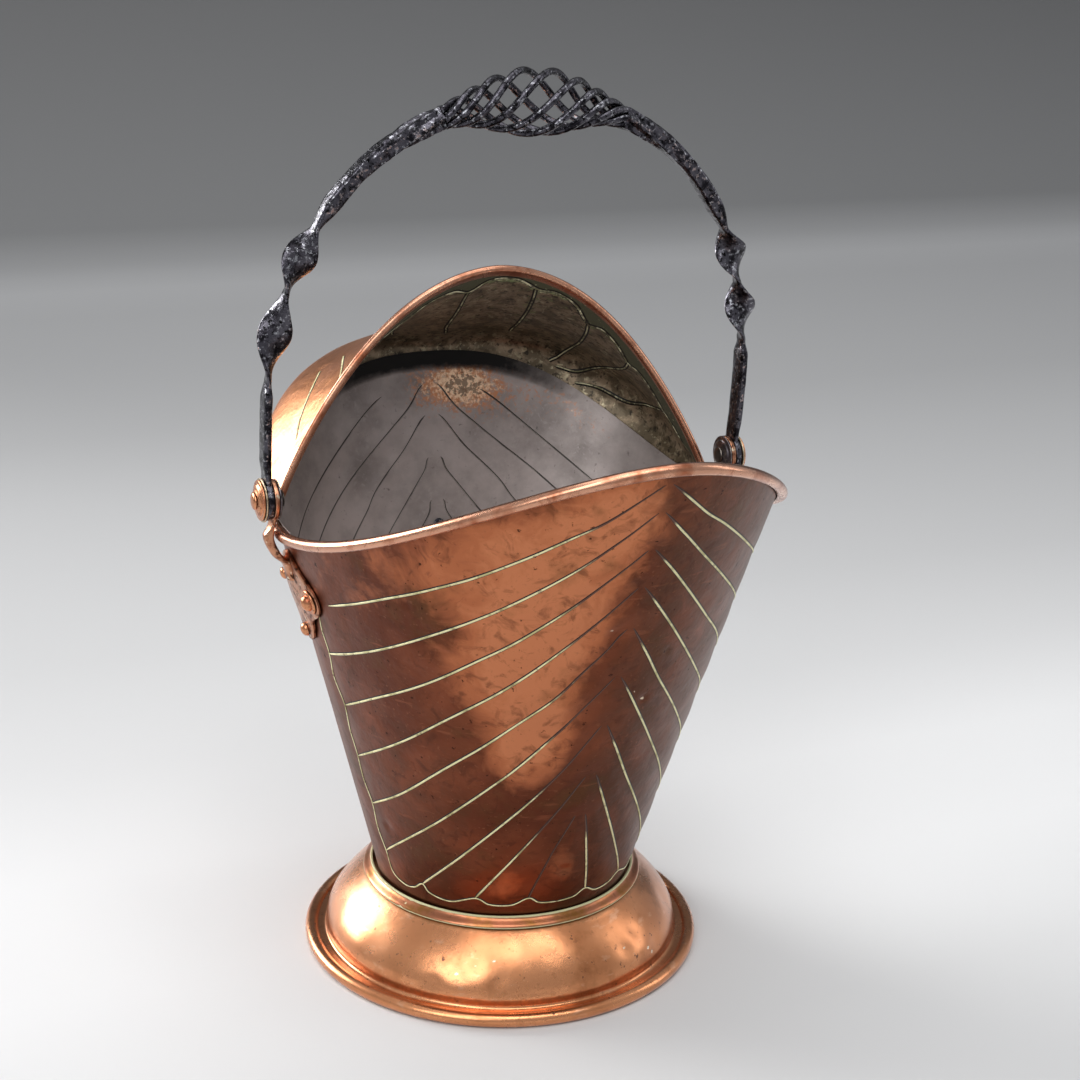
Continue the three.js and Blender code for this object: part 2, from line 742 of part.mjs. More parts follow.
// Width, thickness and twist of the ribbon: two leaf-shaped lobes with a narrow waist between.
function ribbonAt(stops, height, reach) {
  const mix = THREE.MathUtils.lerp;
  const share = turnShare(stops, height);
  const lobe = Math.abs(Math.sin(2 * Math.PI * share)) ** 0.8;
  const twisting = smooth((height - stops[0] + 8) / 8) * smooth((stops[2] + 12 - height) / 14);
  const nearEye = smooth((height - bailEyeRadius - 2) / 8);
  const nearBasket = smooth((reach - 0.8) / 0.2);
  const weld = 2 * (basketNeckRadius + basketRodEndRadius);
  const plainWidth = share < 0.5 ? legWidth : archWidth;
  const plainThickness = share < 0.5 ? mix(bailEyeGauge, legThickness, nearEye) : archThickness;
  const width = mix(plainWidth, mix(waistWidth, lobeWidth, lobe), twisting);
  return {
    width: mix(width, weld, nearBasket),
    thickness: mix(mix(plainThickness, lobeThickness, twisting), weld, nearBasket),
    twist: 2 * Math.PI * share,
    squareness: mix(4, 2, nearBasket),
  };
}

// Places along one arm: up the straight leg, then round the arch to the basket.
function armPath(side) {
  const basketEnd = archTurnAt(basketHalfLength + side * basketShift + clearance);
  const leg = [bailEyeRadius * 0.6, bailEyeRadius + 2, bailEyeRadius + 6, bailEyeRadius + 10];
  const turns = steps(0, 1, 38).map((share) => basketEnd * (0.3 * share + 0.7 * share ** 1.15));
  return [
    ...leg.map((height) => ({ point: vec(archHalfSpan, 0, height), tangent: vec(0, 0, 1), reach: 0 })),
    ...turns.map((turn) => {
      const tangent = archPoint(turn + 1e-3).sub(archPoint(Math.max(turn - 1e-3, 0))).normalize();
      return { point: archPoint(turn), tangent, reach: turn / basketEnd };
    }),
  ];
}

function bailArm(side, stops) {
  const rings = armPath(side).map(({ point, tangent, reach }) => {
    const { width, thickness, twist, squareness } = ribbonAt(stops, point.z, reach);
    const outward = vec(tangent.z, 0, -tangent.x);
    const across = vec(0, Math.cos(twist), 0).addScaledVector(outward, side * Math.sin(twist));
    const through = tangent.clone().cross(across);
    const inset = point.z < legStraight ? (thickness - legThickness) / 2 : 0;
    return steps(0, 360, 10).slice(0, -1).map((degrees) => {
      const turn = (degrees + 18) * DEG;
      const place = point.clone()
        .addScaledVector(outward, inset)
        .addScaledVector(across, width / 2 * signedPower(Math.cos(turn), 2 / squareness))
        .addScaledVector(through, thickness / 2 * signedPower(Math.sin(turn), 2 / squareness));
      return vec(side * place.x, place.y, place.z);
    });
  });
  const eye = aimed(disc(bailEyeRadius, stackFace.bailInside, stackFace.bailOutside, 20), vec(0, 0, 0), sideways(side));
  const bore = aimed(disc(pinRadius + holeClearance, 0, stackFace.bossOutside, 16), vec(0, 0, 0), sideways(side));
  return cut(joined(loft(rings), eye), bore);
}

// One rod of the basket: a helix round the arch's line, swelling and closing again.
function basketRod(number) {
  const share = number / basketRodCount;
  const place = (u) => {
    const x = basketShift + basketHalfLength * (2 * u - 1);
    const centre = vec(x, 0, archHeightAt(x));
    const tangent = vec(1, 0, (archHeightAt(x + 0.5) - archHeightAt(x - 0.5))).normalize();
    const up = vec(-tangent.z, 0, tangent.x);
    const turn = 2 * Math.PI * (share + basketTurns * (u + basketBunching * Math.sin(2 * Math.PI * u) / (2 * Math.PI)));
    const radius = THREE.MathUtils.lerp(basketNeckRadius, basketRadius, Math.sin(Math.PI * u) ** 1.35);
    const radial = vec(0, -Math.cos(turn), 0).addScaledVector(up, Math.sin(turn));
    return { middle: centre.addScaledVector(radial, radius), radial };
  };
  const rings = steps(0, 1, 18).map((u) => {
    const { middle, radial } = place(u);
    const along = place(Math.min(u + 1e-3, 1)).middle.sub(place(Math.max(u - 1e-3, 0)).middle).normalize();
    const facing = u === 0 || u === 1 ? endDirection(u) : along;
    const across = radial.clone().projectOnPlane(facing).normalize();
    const other = facing.clone().cross(across);
    const radius = THREE.MathUtils.lerp(basketRodEndRadius, basketRodRadius, Math.sin(Math.PI * u) ** 0.5);
    return steps(0, 360, 6).slice(0, -1).map((degrees) => middle.clone()
      .addScaledVector(across, radius * Math.cos(degrees * DEG))
      .addScaledVector(other, radius * Math.sin(degrees * DEG)));
  });
  return loft(rings);
}

// The rods end square to the arch, where they are welded to the arms.
function endDirection(u) {
  const x = basketShift + basketHalfLength * (2 * u - 1);
  return vec(1, 0, archHeightAt(x + 0.5) - archHeightAt(x - 0.5)).normalize();
}

// ---------------------------------------------------------------- rear handle

const backLine = mouthEdge(Math.PI).sub(bucketFoot(Math.PI)).normalize();
const backOut = vec(0, backLine.z, -backLine.y);
const backFace = -gauge - clearance;
const handleRise = (handleHeight - footHeight) / (mouthEdge(Math.PI).z - footHeight);
const handleMiddle = wall(Math.PI, handleRise).addScaledVector(backOut, backFace);

const onBack = (along, out) => handleMiddle.clone().addScaledVector(backLine, along).addScaledVector(backOut, out);

// A drop-forged loop: flat pads on the wall, a round grip standing off it.
function rearHandle() {
  const padOut = clearance + handlePadGauge / 2;
  const upper = [
    [handleSpan + handlePadLength, padOut],
    [handleSpan + handlePadLength / 2, padOut],
    [handleSpan + 2, padOut + 0.6],
    [handleSpan - 3, handleStandoff * 0.35],
    [handleSpan * 0.78, handleStandoff * 0.78],
    [handleSpan * 0.4, handleStandoff * 0.97],
  ];
  const lower = upper.map(([along, out]) => [-along, out]).reverse();
  const spine = [...upper, [0, handleStandoff], ...lower].map(([along, out]) => onBack(along, out));
  const curve = new THREE.CatmullRomCurve3(spine, false, 'centripetal');
  const rings = steps(0, 1, 26).map((t) => {
    const point = curve.getPointAt(t);
    const tangent = curve.getTangentAt(t);
    const outward = vec(1, 0, 0).cross(tangent).normalize();
    const pad = smooth(1 - (Math.min(t, 1 - t) - 0.1) / 0.1);
    const width = THREE.MathUtils.lerp(handleThickness, handlePadWidth, pad) / 2;
    const depth = THREE.MathUtils.lerp(handleThickness, handlePadGauge, pad) / 2;
    const square = 2 / THREE.MathUtils.lerp(2, 5, pad);
    return steps(0, 360, 10).slice(0, -1).map((degrees) => point.clone()
      .addScaledVector(vec(1, 0, 0), width * signedPower(Math.cos((degrees + 18) * DEG), square))
      .addScaledVector(outward, depth * signedPower(Math.sin((degrees + 18) * DEG), square)));
  });
  const holes = [-1, 1].map((end) => aimed(
    disc(rivetShankRadius + holeClearance, -8, 8, 12),
    onBack(end * handleRivetOffset, 0),
    backOut,
  ));
  return cut(loft(rings), ...holes);
}

const handleRivets = [
  { name: 'rear_handle_top_rivet', end: 1 },
  { name: 'rear_handle_bottom_rivet', end: -1 },
];

function addRearHandle() {
  addPiece('rear_handle', rearHandle(), finishes.iron);
  handleRivets.forEach(({ name, end }) => {
    const seat = 2 * clearance + handlePadGauge;
    const body = rivetBody({ headRadius: 3.4, headHeight: 2.4, ring: 0 }, seat, -gauge - tailGap);
    addPiece(name, aimed(body, onBack(end * handleRivetOffset, 0), backOut), finishes.iron);
  });
}

// ---------------------------------------------------------------- assembly

const backHoles = [
  ...handleRivets.map(({ end }) => aimed(
    disc(rivetShankRadius + holeClearance, -8, 8, 12),
    onBack(end * handleRivetOffset, 0),
    backOut,
  )),
  ...[1, -1].flatMap((side) => rivets.slice(1).map(({ y, z }) => rivetHole(side, y, z))),
];
const frontHoles = [1, -1].flatMap((side) => [rivets[0], rivets[2]].map(({ y, z }) => rivetHole(side, y, z)));

addPiece('foot', footSheet(), finishes.brightCopper);
addPiece('foot_rim_wire', footWire(), finishes.wire);
addPiece('collar', collarStrip(), finishes.brightCopper);
addPiece('floor_plate', floorPlate(), finishes.copper);
addPiece('front_panel', cut(frontSheet(), ...frontHoles), finishes.copper);
addPiece('back_panel', cut(backSheet(), ...backHoles), finishes.copper);
addPiece('hood', hoodSheet(), finishes.copper);
addPiece('lip_wire', lipWire(), finishes.wire);
addPiece('hood_rim_wire', hoodWire(), finishes.wire);
addRearHandle();

for (const [label, side] of [['left', -1], ['right', 1]]) {
  addPiece(`${label}_bracket`, bracket(side), finishes.copper);
  addRivets(side, label);
  addHinge(side, label);
  addPiece(`bail_${label}_arm`, bailArm(side, twistStops[label]), finishes.iron, bail);
}

for (let number = 0; number < basketRodCount; number += 1) {
  addPiece(`basket_rod_${number + 1}`, basketRod(number), finishes.iron, bail);
}

// The frame's origin lies under the middle of the whole object's box.
const whole = new THREE.Box3().setFromObject(scuttle, true);
scuttle.position.set(-(whole.min.x + whole.max.x) / 2, -(whole.min.y + whole.max.y) / 2, -whole.min.z);

export default scuttle;
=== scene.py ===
import math

import bpy
import numpy as np
from mathutils import Matrix


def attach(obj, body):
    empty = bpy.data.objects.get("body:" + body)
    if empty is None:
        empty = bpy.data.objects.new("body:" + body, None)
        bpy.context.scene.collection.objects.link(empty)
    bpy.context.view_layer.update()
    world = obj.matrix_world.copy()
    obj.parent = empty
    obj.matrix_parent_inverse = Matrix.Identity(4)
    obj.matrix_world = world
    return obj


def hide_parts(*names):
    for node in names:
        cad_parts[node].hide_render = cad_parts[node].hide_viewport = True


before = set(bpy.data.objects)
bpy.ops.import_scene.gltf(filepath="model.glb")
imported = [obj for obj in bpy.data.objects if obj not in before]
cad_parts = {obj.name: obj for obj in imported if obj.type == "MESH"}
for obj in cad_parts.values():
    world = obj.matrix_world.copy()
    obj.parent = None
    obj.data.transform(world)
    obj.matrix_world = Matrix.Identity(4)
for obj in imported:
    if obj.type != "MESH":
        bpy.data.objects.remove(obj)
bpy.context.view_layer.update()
print("frame loaded:", len(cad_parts), "nodes")

# Shapes are worked out in millimetres round the foot's own axis, then moved to the row frame.
footAxisY = 26.566
wallGauge = 1.0
fit = 0.3
metresPerMm, mmPerMetre = 0.001, 1000
sides = ((-1, "left"), (1, "right"))


def unit(v):
    return v / np.linalg.norm(v, axis=-1, keepdims=True)


def signedPower(value, power):  # the sign kept, the size raised to a power
    return np.sign(value) * np.abs(value) ** power


def smoothStep(value, low, high):  # 3t^2 - 2t^3 between low and high
    t = np.clip((value - low) / (high - low), 0, 1)
    return t * t * (3 - 2 * t)


def vectors(x, y, z):
    return np.stack(np.broadcast_arrays(x, y, z), -1).astype(float)


def surfaceNormal(surface, u, v, small=1e-4):  # cross product of the two directions on the surface
    alongU = surface(u + small, v) - surface(u - small, v)
    alongV = surface(u, v + small) - surface(u, v - small)
    return unit(np.cross(alongU, alongV))


def ripple(points, size, seed):
    # Soft waves: a sum of nine sines in fixed pseudo-random directions, about size mm long, from -1
    # to 1.
    count = 9
    rng = np.random.default_rng(seed)
    directions = unit(rng.normal(size=(count, 3)))
    phases = rng.uniform(0, 2 * np.pi, count)
    lengths = size * rng.uniform(0.7, 1.6, count)
    waves = [np.sin(2 * np.pi * (points @ d) / s + p) for d, s, p in zip(directions, lengths, phases)]
    return np.sum(waves, 0) / (count / 2)


def splineThrough(knots, count):
    # A Catmull-Rom curve: cubic pieces whose slope at a knot is half the step between its
    # neighbours.
    knots = np.asarray(knots, float)
    padded = np.vstack([2 * knots[0] - knots[1], knots, 2 * knots[-1] - knots[-2]])
    place = np.linspace(0, len(knots) - 1 - 1e-9, count)
    k = place.astype(int)
    t = (place - k)[:, None]
    a, b, c, d = (padded[k + i] for i in range(4))
    return 0.5 * (2 * b + (c - a) * t + (2 * a - 5 * b + 4 * c - d) * t**2 + (3 * b - a - 3 * c + d) * t**3)


def gridFaces(rows, columns, closed):
    # Quads between neighbouring rows; where closed, the last column joins the first.
    r, c = np.meshgrid(np.arange(rows - 1), np.arange(columns if closed else columns - 1), indexing="ij")
    nextC = (c + 1) % columns
    quads = np.stack([r * columns + c, r * columns + nextC, (r + 1) * columns + nextC, (r + 1) * columns
                      + c], -1)
    return quads.reshape(-1, 4)


def loftFaces(rows, columns):  # a tube of rings with both ends capped
    faces = gridFaces(rows, columns, True).tolist()
    faces.append(list(range(columns))[::-1])
    faces.append(list(range((rows - 1) * columns, rows * columns)))
    return faces


def turnOutwards(points, faces):
    # Flips every face if the sum of the tetrahedra from the origin to the faces is negative.
    quads = np.array([f for f in faces if len(f) == 4])
    p = points - points.mean(0)
    a, b, c, d = (p[quads[:, i]] for i in range(4))
    total = np.sum(a * np.cross(b, c)) + np.sum(a * np.cross(c, d))
    return [f[::-1] for f in faces] if total < 0 else faces


def addPiece(name, shells, material, body, replaces=(), marks=None, sharpAngle=42):
    # One object from closed shells, each a pair of points in mm and faces.
    points, faces, start = [], [], 0
    for shellPoints, shellFaces in shells:
        flat = np.asarray(shellPoints, float).reshape(-1, 3)
        faces += [[start + i for i in f] for f in turnOutwards(flat, shellFaces)]
        points.append(flat)
        start += len(flat)
    points = (np.vstack(points) + [0, footAxisY, 0]) * metresPerMm
    mesh = bpy.data.meshes.new(name)
    mesh.from_pydata(points.tolist(), [], faces)
    mesh.shade_smooth()
    mesh.set_sharp_from_angle(angle=math.radians(sharpAngle))
    for mark, values in (marks or {}).items():
        layer = mesh.attributes.new(mark, "FLOAT", "POINT")
        layer.data.foreach_set("value", np.asarray(values, np.float32).ravel())
    mesh.materials.append(material)
    piece = bpy.data.objects.new(name, mesh)
    bpy.context.scene.collection.objects.link(piece)
    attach(piece, body)
    if replaces:
        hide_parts(*replaces)
    return piece


def colourOf(code):  # sRGB hex to linear
    parts = [int(code[i:i + 2], 16) / 255 for i in (1, 3, 5)]
    return (*[p / 12.92 if p <= 0.04045 else ((p + 0.055) / 1.055) ** 2.4 for p in parts], 1.0)


def addNode(tree, kind, sources=None, **settings):
    node = tree.nodes.new(kind)
    for name, value in settings.items():
        setattr(node, name, value)
    for socket, source in (sources or {}).items():
        if isinstance(source, bpy.types.NodeSocket):
            tree.links.new(source, node.inputs[socket])
        else:
            node.inputs[socket].default_value = source
    return node


def film(size, low, high, colour, roughness=None, **more):
    # one film or stain: its clouds' size in mm, where its mask starts and is full, and its own finish
    return {"size": size, "edges": (low, high), "colour": colour, "roughness": roughness, **more}


def layerMask(tree, place, layer):
    # Where a layer shows: cloudy noise of the layer's size in mm, with the mark's value added, cut
    # between two edges.
    stretch = layer.get("stretch", (1, 1, 1))
    moved = addNode(tree, "ShaderNodeMapping",
                    {"Vector": place, "Scale": stretch, "Rotation": layer.get("turn", (0, 0, 0))})
    cloud = addNode(tree, "ShaderNodeTexNoise", {
        "Vector": moved.outputs[0], "Scale": mmPerMetre / layer["size"], "Detail": layer.get("detail", 4.0),
        "Roughness": 0.6, "Distortion": layer.get("distortion", 0.0)})
    value = cloud.outputs["Fac"]
    if "mark" in layer:
        mark = addNode(tree, "ShaderNodeAttribute", attribute_name=layer["mark"])
        spread = addNode(tree, "ShaderNodeMath", {0: value, 1: layer.get("ragged", 0.5)},
                         operation="MULTIPLY")
        value = addNode(tree, "ShaderNodeMath", {0: mark.outputs["Fac"], 1: spread.outputs[0]},
                        operation="ADD").outputs[0]
    low, high = layer["edges"]
    cut = addNode(tree, "ShaderNodeMapRange", {
        "Value": value, "From Min": low, "From Max": high, "To Min": 0.0,
        "To Max": layer.get("amount", 1.0)})
    return cut.outputs[0]


def makeFinish(name, colour, roughness, layers, bumps=(), metallic=1.0, wax=0.0):
    # A metal with its films and wear: each layer mixes its own colour, roughness and metallic share
    # over the last. Bumps are pairs of size across and depth, both in mm.
    material = bpy.data.materials.new(name)
    material.use_nodes = True
    tree = material.node_tree
    tree.nodes.clear()
    place = addNode(tree, "ShaderNodeTexCoord").outputs["Object"]
    shader = addNode(tree, "ShaderNodeBsdfPrincipled", {
        "Metallic": metallic, "Coat Weight": wax, "Coat Roughness": 0.3})
    colour, rough, metal = colourOf(colour), roughness, metallic
    metalVaries = any("metallic" in layer for layer in layers)
    for layer in layers:
        mask = layerMask(tree, place, layer)
        mixed = addNode(tree, "ShaderNodeMix", {0: mask, 6: colour, 7: colourOf(layer["colour"])},
                        data_type="RGBA")
        colour = mixed.outputs[2]
        if layer["roughness"] is not None:
            mixedRough = addNode(tree, "ShaderNodeMix", {0: mask, 2: rough, 3: layer["roughness"]},
                                 data_type="FLOAT")
            rough = mixedRough.outputs[0]
        if metalVaries:
            here = layer.get("metallic", metallic)
            metal = addNode(tree, "ShaderNodeMix", {0: mask, 2: metal, 3: here},
                            data_type="FLOAT").outputs[0]
    tree.links.new(colour, shader.inputs["Base Color"])
    if isinstance(rough, bpy.types.NodeSocket):
        tree.links.new(rough, shader.inputs["Roughness"])
    else:
        shader.inputs["Roughness"].default_value = rough
    if metalVaries:
        tree.links.new(metal, shader.inputs["Metallic"])
    normal = None
    for size, depth in bumps:
        grain = addNode(tree, "ShaderNodeTexNoise", {
            "Vector": place, "Scale": mmPerMetre / size, "Detail": 5.0, "Roughness": 0.55})
        sources = {"Strength": 1.0, "Distance": depth * metresPerMm, "Height": grain.outputs["Fac"]}
        if normal is not None:
            sources["Normal"] = normal
        normal = addNode(tree, "ShaderNodeBump", sources).outputs[0]
    if normal is not None:
        tree.links.new(normal, shader.inputs["Normal"])
    output = addNode(tree, "ShaderNodeOutputMaterial")
    tree.links.new(shader.outputs[0], output.inputs["Surface"])
    return material


# Old rolled copper sheet, once polished and now browned: satin red-brown with cloudy stains,
# a brighter zone on the left that is partly wear where hands and cloths have been and partly
# painted light, painted shade over the right side, pale nicks painted as glints, and dark pin pricks.
brownedCopper = makeFinish("old_copper_sheet_browned", "#7d4630", 0.34, [
    film(60, 0.4, 0.62, "#5f3323", 0.37),
    film(22, 0.5, 0.7, "#71412c", 0.38, amount=0.7),
    # the next two films: brighter copper, partly rubbed wear and partly painted light on the panel's lit left
    film(26, 1.0, 1.34, "#ae6846", 0.3, mark="polish_and_lit", ragged=1.3, detail=6.0, distortion=0.6),
    film(13, 1.2, 1.5, "#c77e58", 0.3, mark="polish_and_lit", ragged=1.0, detail=6.0, distortion=1.0, amount=0.8),
    # painted shade: darker olive-brown over the right side and the lower far left
    film(15, 0.75, 1.25, "#58392a", 0.38, mark="painted_side_shade", ragged=1.2, detail=7.0, distortion=0.8,
         amount=0.85),
    film(11, 0.54, 0.66, "#4c2b1f", 0.42, detail=8.0, distortion=1.2, amount=0.5),
    film(30, 0.56, 0.7, "#5e4428", 0.42, detail=7.0, amount=0.45),
    film(2.4, 0.62, 0.72, "#8d5a42", detail=3.0, amount=0.45),
    film(4, 0.67, 0.72, "#2c150e", 0.5, detail=3.0, amount=0.85),
    film(7, 0.63, 0.7, "#9a5c42", stretch=(0.25, 0.25, 1.6), turn=(0.5, 0.4, 0), amount=0.35),
    # pale spots at the dents: nicks painted as glints
    film(2.5, 0.6, 0.8, "#f0dcc0", 0.25, mark="nick_glint", ragged=0.25),
], bumps=[(38, 1.0), (13, 0.3), (4, 0.05), (1.5, 0.02)])

# Spun copper, the most often rubbed part: clear orange with a high shine and a few brown stains.
spunCopper = makeFinish("spun_copper_polished", "#e09663", 0.27, [
    film(45, 0.45, 0.65, "#cd8350", 0.3),
    film(18, 0.54, 0.7, "#a8632f", 0.31, detail=6.0, amount=0.7),
    film(12, 0.6, 0.7, "#eab48e", stretch=(1, 1, 3), amount=0.5),
    film(3, 0.6, 0.7, "#8a4c26", 0.4, detail=6.0, amount=0.5),
    film(4, 0.67, 0.72, "#4a2412", 0.45, detail=3.0, amount=0.85),
    film(4, 0.5, 0.9, "#6a5230", 0.45, mark="tarnish", ragged=0.5, amount=0.85),
    # pale spots at the dents: nicks painted as glints
    film(3, 0.5, 0.7, "#f7e6cc", 0.2, mark="nick_glint", ragged=0.2),
], bumps=[(30, 0.4), (6, 0.06), (1.5, 0.02)], wax=0.8)

# The hood's sheet: brown-orange outside with a greyish film, inside a dark oxide with verdigris
# in the corner under the rim.
hoodCopper = makeFinish("hood_sheet_copper_oxide", "#c9875a", 0.32, [
    film(40, 0.45, 0.65, "#b1795a", 0.36),
    film(12, 0.56, 0.7, "#8a4f2a", 0.38, detail=6.0, amount=0.6),
    film(9, 0.4, 0.7, "#a08d74", 0.42, mark="inside", ragged=0.1, metallic=0.5),
    film(10, 1.62, 1.78, "#655945", 0.4, mark="inside", ragged=1.4, detail=8.0, amount=0.9, metallic=0.5),
    film(4, 1.78, 1.92, "#c9bd9c", 0.34, mark="inside", ragged=1.4, detail=8.0, distortion=0.8, amount=0.7,
         metallic=0.6),
    film(3, 1.66, 1.74, "#1f1a15", 0.45, mark="inside", ragged=1.2, detail=6.0, amount=0.75, metallic=0.5),
    film(5, 1.12, 1.36, "#98a274", 0.6, mark="verdigris", ragged=1.5, detail=8.0, metallic=0.15),
    film(2.6, 1.3, 1.46, "#dfe3b4", 0.55, mark="verdigris", ragged=1.5, detail=8.0, metallic=0.1),
    film(2.1, 1.42, 1.5, "#33301f", 0.6, mark="verdigris", ragged=1.5, detail=6.0, amount=0.9,
         metallic=0.1),
], bumps=[(24, 0.6), (6, 0.2), (1.6, 0.05)])

# The back sheet: grey-brown film inside from coal and damp, rubbed through to bright speckled
# copper under the seam, a near-black painted shadow along the top under the hood's seam, and
# browned copper outside.
coaledCopper = makeFinish("bucket_sheet_coal_film", "#854b32", 0.33, [
    film(50, 0.42, 0.62, "#6a3826", 0.36),
    film(18, 0.55, 0.7, "#95593c", amount=0.6),
    film(8, 0.4, 0.7, "#bdb2ae", 0.42, mark="inside", ragged=0.1, metallic=0.45),
    film(34, 1.36, 1.6, "#948b87", 0.46, mark="inside", ragged=0.9, detail=7.0, metallic=0.45),
    film(3, 1.5, 1.62, "#b9afab", 0.38, mark="inside", ragged=0.9, detail=6.0, distortion=0.6, amount=0.6,
         metallic=0.5),
    film(3.4, 1.58, 1.68, "#5e5754", 0.5, mark="inside", ragged=0.9, detail=4.0, amount=0.7, metallic=0.4),
    film(2.4, 1.12, 1.5, "#cf8f68", 0.36, mark="worn", ragged=1.6, detail=8.0, distortion=0.4,
         metallic=0.8),
    film(1.7, 1.36, 1.66, "#ffdcb8", 0.32, mark="worn", ragged=1.6, detail=8.0, amount=0.95, metallic=0.8),
    film(2.2, 1.62, 1.7, "#40302a", 0.5, mark="worn", ragged=1.6, detail=6.0, amount=0.6, metallic=0.4),
    # painted shadow under the hood's seam, near black
    film(6, 0.5, 1.1, "#080605", 0.7, mark="painted_seam_shadow", ragged=0.4, metallic=0.0),
], bumps=[(30, 0.4), (4, 0.08), (1.4, 0.03)])

# Wired edges: the copper rolled over its wire and rubbed bright, its pale pink colour set light all over as
# painted highlight for the beads' tops.
rolledCopper = makeFinish("rolled_edge_copper_rubbed_highlit", "#d29a7c", 0.26, [
    film(16, 0.5, 0.68, "#a6613f", 0.32),
    film(5, 0.6, 0.7, "#7d4a34", 0.4, detail=5.0, amount=0.6),
    film(2.4, 0.68, 0.74, "#3f2418", 0.5, detail=4.0, amount=0.7),
], bumps=[(9, 0.1), (2, 0.03)], wax=0.5)

# Hand-forged iron under black lacquer: deep gloss, hammer-pitted, rubbed to grey on the faces
# and to a coppery brown along the sides, with fine near-white specks painted as glints.
forgedIron = makeFinish("forged_iron_black_lacquer", "#4e4c53", 0.2, [
    film(6, 0.48, 0.58, "#1d1b20", 0.24, detail=6.0),
    film(2.2, 0.56, 0.62, "#b9bac0", 0.26, detail=6.0, amount=0.6, metallic=1.0),
    film(2.2, 1.42, 1.6, "#9a6b56", 0.34, mark="edge", ragged=1.3, detail=7.0, amount=0.75, metallic=1.0),
    # painted glints: fine near-white specks
    film(1.3, 0.66, 0.72, "#e4e3e4", 0.3, detail=4.0, amount=0.7, metallic=1.0),
    film(2.6, 0.57, 0.63, "#0a090b", 0.3, detail=6.0),
], bumps=[(9, 0.9), (2.6, 0.35)], metallic=0.9)

# Raised veins: worn pale by polish left in them, with painted shade as a dark line along each edge, wider on
# the upper side.
paleVein = makeFinish("vein_polish_residue", "#e6dfae", 0.42, [
    film(9, 0.5, 0.6, "#a39a60", 0.45, detail=6.0, amount=0.7),
    film(4, 0.58, 0.66, "#6b4a30", 0.4, detail=6.0, amount=0.6),
    film(9, 0.55, 0.85, "#5f3a2a", 0.35, mark="fade", ragged=0.7, detail=5.0),
    # painted shade along the vein's edges
    film(3, 0.4, 0.6, "#1d0f0a", 0.5, mark="shade", ragged=0.05),
], metallic=0.2)

# The same veins under the hood, greened by damp.
mossyVein = makeFinish("vein_verdigris_crust", "#efebc4", 0.5, [
    film(6, 0.46, 0.56, "#878463", 0.5, detail=6.0),
    film(5, 0.52, 0.6, "#3a3228", 0.5, detail=6.0, amount=0.9),
    # painted shade along the vein's edges
    film(3, 0.4, 0.6, "#1a1510", 0.55, mark="shade", ragged=0.05),
], bumps=[(2, 0.05)], metallic=0.2)

# And inside the bucket, where coal has rubbed over them.
darkVein = makeFinish("vein_under_coal_film", "#b4aba4", 0.4, [
    film(26, 0.44, 0.58, "#6b6460", 0.45),
    # painted shade along the vein's edges, mostly the upper one
    film(3, 0.4, 0.6, "#3a3431", 0.55, mark="shade", ragged=0.05),
], metallic=0.5)

# Forged copper brackets: pale specks painted as highlights and black specks over the copper.
bracketCopper = makeFinish("forged_copper_bracket_highlit", "#c08a6c", 0.28, [
    film(7, 0.46, 0.6, "#8a5238", 0.34, detail=5.0),
    film(3.5, 0.55, 0.63, "#2c1c15", 0.5, detail=6.0, amount=0.85),
    # painted highlights: pale specks
    film(3.0, 0.6, 0.67, "#e6d9bf", 0.35, detail=6.0, amount=0.85),
], bumps=[(5, 0.16), (1.5, 0.04)])

# Brass washers gone pale and grey with age.
tarnishedBrass = makeFinish("cast_brass_tarnished", "#c4b296", 0.3, [
    film(7, 0.46, 0.64, "#8d7c60", 0.4),
    film(3, 0.56, 0.66, "#3b3126", 0.5, detail=5.0, amount=0.8),
], bumps=[(4, 0.1)])

# Turned copper caps and rivet heads: bright on the domes.
turnedCopper = makeFinish("turned_copper_caps", "#cf8f68", 0.26, [
    film(6, 0.5, 0.66, "#a8654a", 0.3),
    film(2.5, 0.6, 0.68, "#4d2c1c", 0.45, detail=5.0, amount=0.8),
    film(3, 0.5, 0.7, "#6e6660", 0.3, mark="blacked", ragged=0.2),
], bumps=[(5, 0.1), (1.5, 0.03)])
print("finishes made")

# The bucket's surface, with the same named sizes as the part's source.
bucket = {"footRadius": 67.7, "footHeight": 38.7, "halfWidth": 120.5, "seamY": -8.0, "lipReach": 168.5,
          "backReach": 127.0, "sideHeight": 241.0, "lipRise": 68.0, "lipRiseLinear": 0.27, "backRise": 57.5,
          "lipRoundness": 1.886, "backRoundness": 2.45, "lipBead": 3.0, "frontLap": 93.5, "backLap": 90.3}


def mouthEdge(angle):
    # A superellipse in plan for each half; its height climbs with the reach to the lip and with the
    # square of the reach to the back.
    front = np.maximum(np.cos(angle), 0)
    back = np.maximum(-np.cos(angle), 0)
    roundness = np.where(back > 0, bucket["backRoundness"], bucket["lipRoundness"])
    forward = front ** (2 / bucket["lipRoundness"])
    linear = bucket["lipRiseLinear"]
    lift = bucket["lipRise"] * (linear * forward + (1 - linear) * forward**2) + bucket["backRise"] * back**2
    x = bucket["halfWidth"] * signedPower(np.sin(angle), 2 / roundness)
    y = (bucket["seamY"] - bucket["lipReach"] * forward
         + bucket["backReach"] * back ** (2 / bucket["backRoundness"]))
    return vectors(x, y, bucket["sideHeight"] + lift)


def bucketFoot(angle):
    return vectors(bucket["footRadius"] * np.sin(angle), -bucket["footRadius"] * np.cos(angle),
                   bucket["footHeight"])


def wall(angle, rise):  # straight lines from the round foot up to the mouth's edge
    share = np.asarray(rise, float)[..., None]
    return bucketFoot(angle) * (1 - share) + mouthEdge(angle) * share


